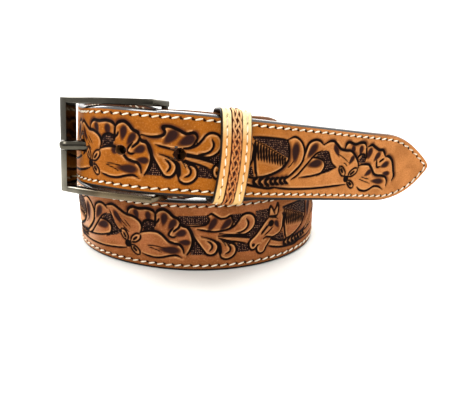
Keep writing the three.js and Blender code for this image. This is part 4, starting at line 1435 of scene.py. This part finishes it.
def keeper_leather():
    """Golden leather low down and cream towards the top, the cream a painted highlight where light falls
    from above, tan in front, with a dark channel that is partly painted shade, pricks darkened as painted
    shade, black edges and a flesh side darkened as painted shade.
    """
    s = Shader("keeper leather")
    across = s.attribute("width_at")
    fine = s.noise(s.vector(s.attribute("round"), across), 1.2, 4, 0.6)
    # Painted highlight: the keeper turns from gold to cream towards its top, where the light from above
    # falls
    end = s.mix(s.ramp(s.axis("Z"), 0.052, 0.066), KEEPER_GOLD, KEEPER_LIT_CREAM)
    colour = s.mix(s.ramp(s.attribute("from_front"), 6, 19), KEEPER_TAN, end)
    colour = s.mix(s.ramp(fine, 0.5, 0.3) * 0.35, colour, KEEPER_SHADE)
    from_middle = s.math("ABSOLUTE", across, 0.0)
    channel = s.ramp(from_middle, BRAID_HALF_WIDTH + 0.45, BRAID_HALF_WIDTH + 0.1)
    # Partly the braid's red dye, partly painted shade: the channel between the laces is dark red
    colour = s.mix(channel, colour, BRAID_GAP_SHADE_RED)
    # Painted shade in the awl holes between the keeper's stitches
    colour = s.mix(s.ramp(s.attribute("prick"), 0.1, 0.7) * 0.9, colour, BURNT)
    edge = s.ramp(from_middle, KEEPER_WIDTH / 2 - 0.65, KEEPER_WIDTH / 2 - 0.35)
    colour = s.mix(edge, colour, EDGE_BLACK)
    # Painted shade: the keeper's flesh side takes the darkened flesh colour
    colour = s.mix(1 - s.attribute("outer"), colour, s.mix(edge, FLESH_IN_SHADE, EDGE_BLACK))
    return s.surface(
        Base_Color=colour,
        Roughness=0.42 + fine * 0.15 - edge * 0.2,
        Normal=s.bump(fine, 0.0002, 0.4),
        Specular_IOR_Level=0.2,
    )


def braid_lace():
    """Tan laces, with a painted highlight where the keeper turns over at its top, and darkened to red
    between their crowns, partly as painted shade.
    """
    s = Shader("braid lace")
    fine = s.noise(s.position(), 900, 3)
    colour = s.mix(s.ramp(fine, 0.35, 0.7), LACE_TAN, LACE_PALE)
    # Painted highlight: the laces are paler towards the keeper's top, where the light from above falls
    colour = s.mix(s.ramp(s.axis("Z"), 0.066, 0.08) * 0.7, colour, LACE_LIT_TOP)
    # Painted shade, partly dye: each lace darkens to red towards its sides, between the crowns
    colour = s.mix(s.ramp(s.attribute("crown"), 0.5, 0.1), colour, BRAID_GAP_SHADE_RED)
    return s.surface(
        Base_Color=colour, Roughness=0.5, Normal=s.bump(fine, 0.0001, 0.4), Specular_IOR_Level=0.2
    )


def gunmetal():
    """Dark polished metal, with a painted reflection that makes it warmer low down and paler at the low
    left corner, random darker smudges, and a painted shade that blackens the prong's loop round its bar.
    """
    s = Shader("polished gunmetal")
    x, z = s.axis("X"), s.axis("Z")
    smudge = s.noise(s.position(), 60, 3)
    # Painted reflection: the frame is warmer low down and paler at its low left corner
    colour = s.mix(s.ramp(z, 0.053, 0.047), GUNMETAL, GUNMETAL_WARM_REFLECTION)
    colour = s.mix(s.ramp(z, 0.070, 0.044) * s.ramp(x, -0.074, -0.092), colour, GUNMETAL_PALE_REFLECTION)
    colour = s.mix(s.ramp(smudge, 0.55, 0.3) * 0.5, colour, SMUDGE_AND_SHADE_BLACK)
    # Painted shade: the prong's loop round the heel bar, seen through the strap's hole, is near black and
    # rough
    shaded_loop = s.ramp(x, -0.0545, -0.052) * s.ramp(z, 0.052, 0.055) * s.ramp(z, 0.074, 0.071)
    colour = s.mix(shaded_loop, colour, SMUDGE_AND_SHADE_BLACK)
    return s.surface(Base_Color=colour, Metallic=1.0, Roughness=0.16 + smudge * 0.08 + shaded_loop * 0.5)


def pale_floor():
    s = Shader("pale floor")
    return s.surface(Base_Color=(*FLOOR_PALE, 1), Roughness=0.8)


waxed, metal = thread(), gunmetal()

strap = new_object("tooled_strap", plain_strap(), tooled_leather())
stitch_places = stitch_plan()
tool_strap(punch_holes(strap), stitch_places)
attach(strap, "root")
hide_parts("strap")

thread_rows = new_object("strap_stitching", stitching(stitch_places), waxed)
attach(thread_rows, "root")

keeper = new_object("keeper_band", keeper_band(), keeper_leather())
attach(keeper, "root")
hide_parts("keeper")
for name, mesh, material in (
    ("keeper_plait", keeper_braid(), braid_lace()),
    ("keeper_thread", keeper_stitching(), waxed),
):
    piece = new_object(name, mesh, material)
    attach(piece, "root")

for node, bevel in (("buckle_frame", 0.45), ("prong", 0.3)):
    piece = new_object(node + "_polished", rounded_copy(node, bevel), metal)
    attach(piece, "root")
    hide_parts(node)


# The studio's even light, how bright the room behind the camera is beside it, and how much brighter the
# light behind the belt is
WORLD_TINT = (1.0, 0.985, 0.96)
WORLD_LIGHT = 1.08
ROOM_LIGHT = 0.18
BACK_LIGHT = 3.2


# Softboxes: side in m, power in W, place and what they face
Softbox = namedtuple("Softbox", "name size power place aim")
SOFTBOXES = [
    Softbox("overhead softbox", 0.4, 6, (0.05, 0.15, 0.8), (0, 0, 0)),
    Softbox("front softbox", 0.4, 4, (-0.3, -0.6, 0.6), (0, 0, 0.04)),
    Softbox("left softbox", 0.3, 3, (-0.6, 0.25, 0.4), (-0.08, 0, 0.03)),
]
FLOOR_REACH = 6

# The photo's camera: its eye in mm, from where the buckle end starts, and its pitch and roll in degrees
EYE = (START_X + 32.0, START_Y - 206.4, 113.7)
CAMERA_PITCH = 19.81
CAMERA_ROLL = 0.44
LENS = 37
SENSOR = 36


def add_light(box):
    light = bpy.data.lights.new(box.name, "AREA")
    light.size = box.size
    light.energy = box.power
    lamp = bpy.data.objects.new(box.name, light)
    bpy.context.scene.collection.objects.link(lamp)
    lamp.location = box.place
    lamp.rotation_euler = (Vector(box.aim) - Vector(box.place)).to_track_quat("-Z", "Y").to_euler()


def add_floor():
    bm = bmesh.new()
    bmesh.ops.create_grid(bm, x_segments=1, y_segments=1, size=FLOOR_REACH)
    floor = new_object("floor", finish_mesh(bm, "floor"), pale_floor())


def add_camera():
    camera = bpy.data.cameras.new("camera")
    camera.lens = LENS
    camera.sensor_width = SENSOR
    camera.clip_start = 0.01
    pitch, roll = math.radians(CAMERA_PITCH), math.radians(CAMERA_ROLL)
    right = Vector((1, 0, 0))
    up = Vector((0, math.sin(pitch), math.cos(pitch)))
    back = Vector((0, -math.cos(pitch), math.sin(pitch)))
    rolled = right * math.cos(roll) + up * math.sin(roll)
    upright = up * math.cos(roll) - right * math.sin(roll)
    eye = bpy.data.objects.new("camera", camera)
    bpy.context.scene.collection.objects.link(eye)
    turn = Matrix((rolled, upright, back)).transposed().to_4x4()
    eye.matrix_world = Matrix.Translation(Vector(EYE) * MM) @ turn
    bpy.context.scene.camera = eye


def add_world():
    """Even white light, darker low down on the camera's side, as the room behind a camera is, and
    brighter behind the belt."""
    world = bpy.data.worlds.new("studio")
    world.use_nodes = True
    tree = world.node_tree
    away = tree.nodes.new("ShaderNodeTexCoord")
    parts = tree.nodes.new("ShaderNodeSeparateXYZ")
    tree.links.new(away.outputs["Generated"], parts.inputs["Vector"])

    def joined(operation, a, b):
        node = tree.nodes.new("ShaderNodeMath")
        node.operation = operation
        for value, socket in zip((a, b), node.inputs):
            if isinstance(value, bpy.types.NodeSocket):
                tree.links.new(value, socket)
            else:
                socket.default_value = value
        return node.outputs["Value"]

    def region(*limits):
        shares = []
        for axis, low, high in limits:
            ramp = tree.nodes.new("ShaderNodeMapRange")
            ramp.interpolation_type = "SMOOTHSTEP"
            ramp.inputs["From Min"].default_value = low
            ramp.inputs["From Max"].default_value = high
            tree.links.new(parts.outputs[axis], ramp.inputs["Value"])
            shares.append(ramp.outputs["Result"])
        while len(shares) > 1:
            shares.append(joined("MULTIPLY", shares.pop(), shares.pop()))
        return shares[0]

    room = joined("MULTIPLY", region(("Y", -0.45, -0.85), ("Z", 0.5, 0.2)), ROOM_LIGHT - WORLD_LIGHT)
    behind = joined("MULTIPLY", region(("Y", 0.15, 0.5), ("Z", 0.0, 0.08), ("Z", 0.85, 0.6)), BACK_LIGHT)
    strength = joined("ADD", joined("ADD", room, behind), WORLD_LIGHT)
    background = tree.nodes["Background"]
    background.inputs["Color"].default_value = (*WORLD_TINT, 1)
    tree.links.new(strength, background.inputs["Strength"])
    bpy.context.scene.world = world


add_floor()
add_camera()
add_world()
bpy.context.scene.view_settings.view_transform = "Standard"
for box in SOFTBOXES:
    add_light(box)
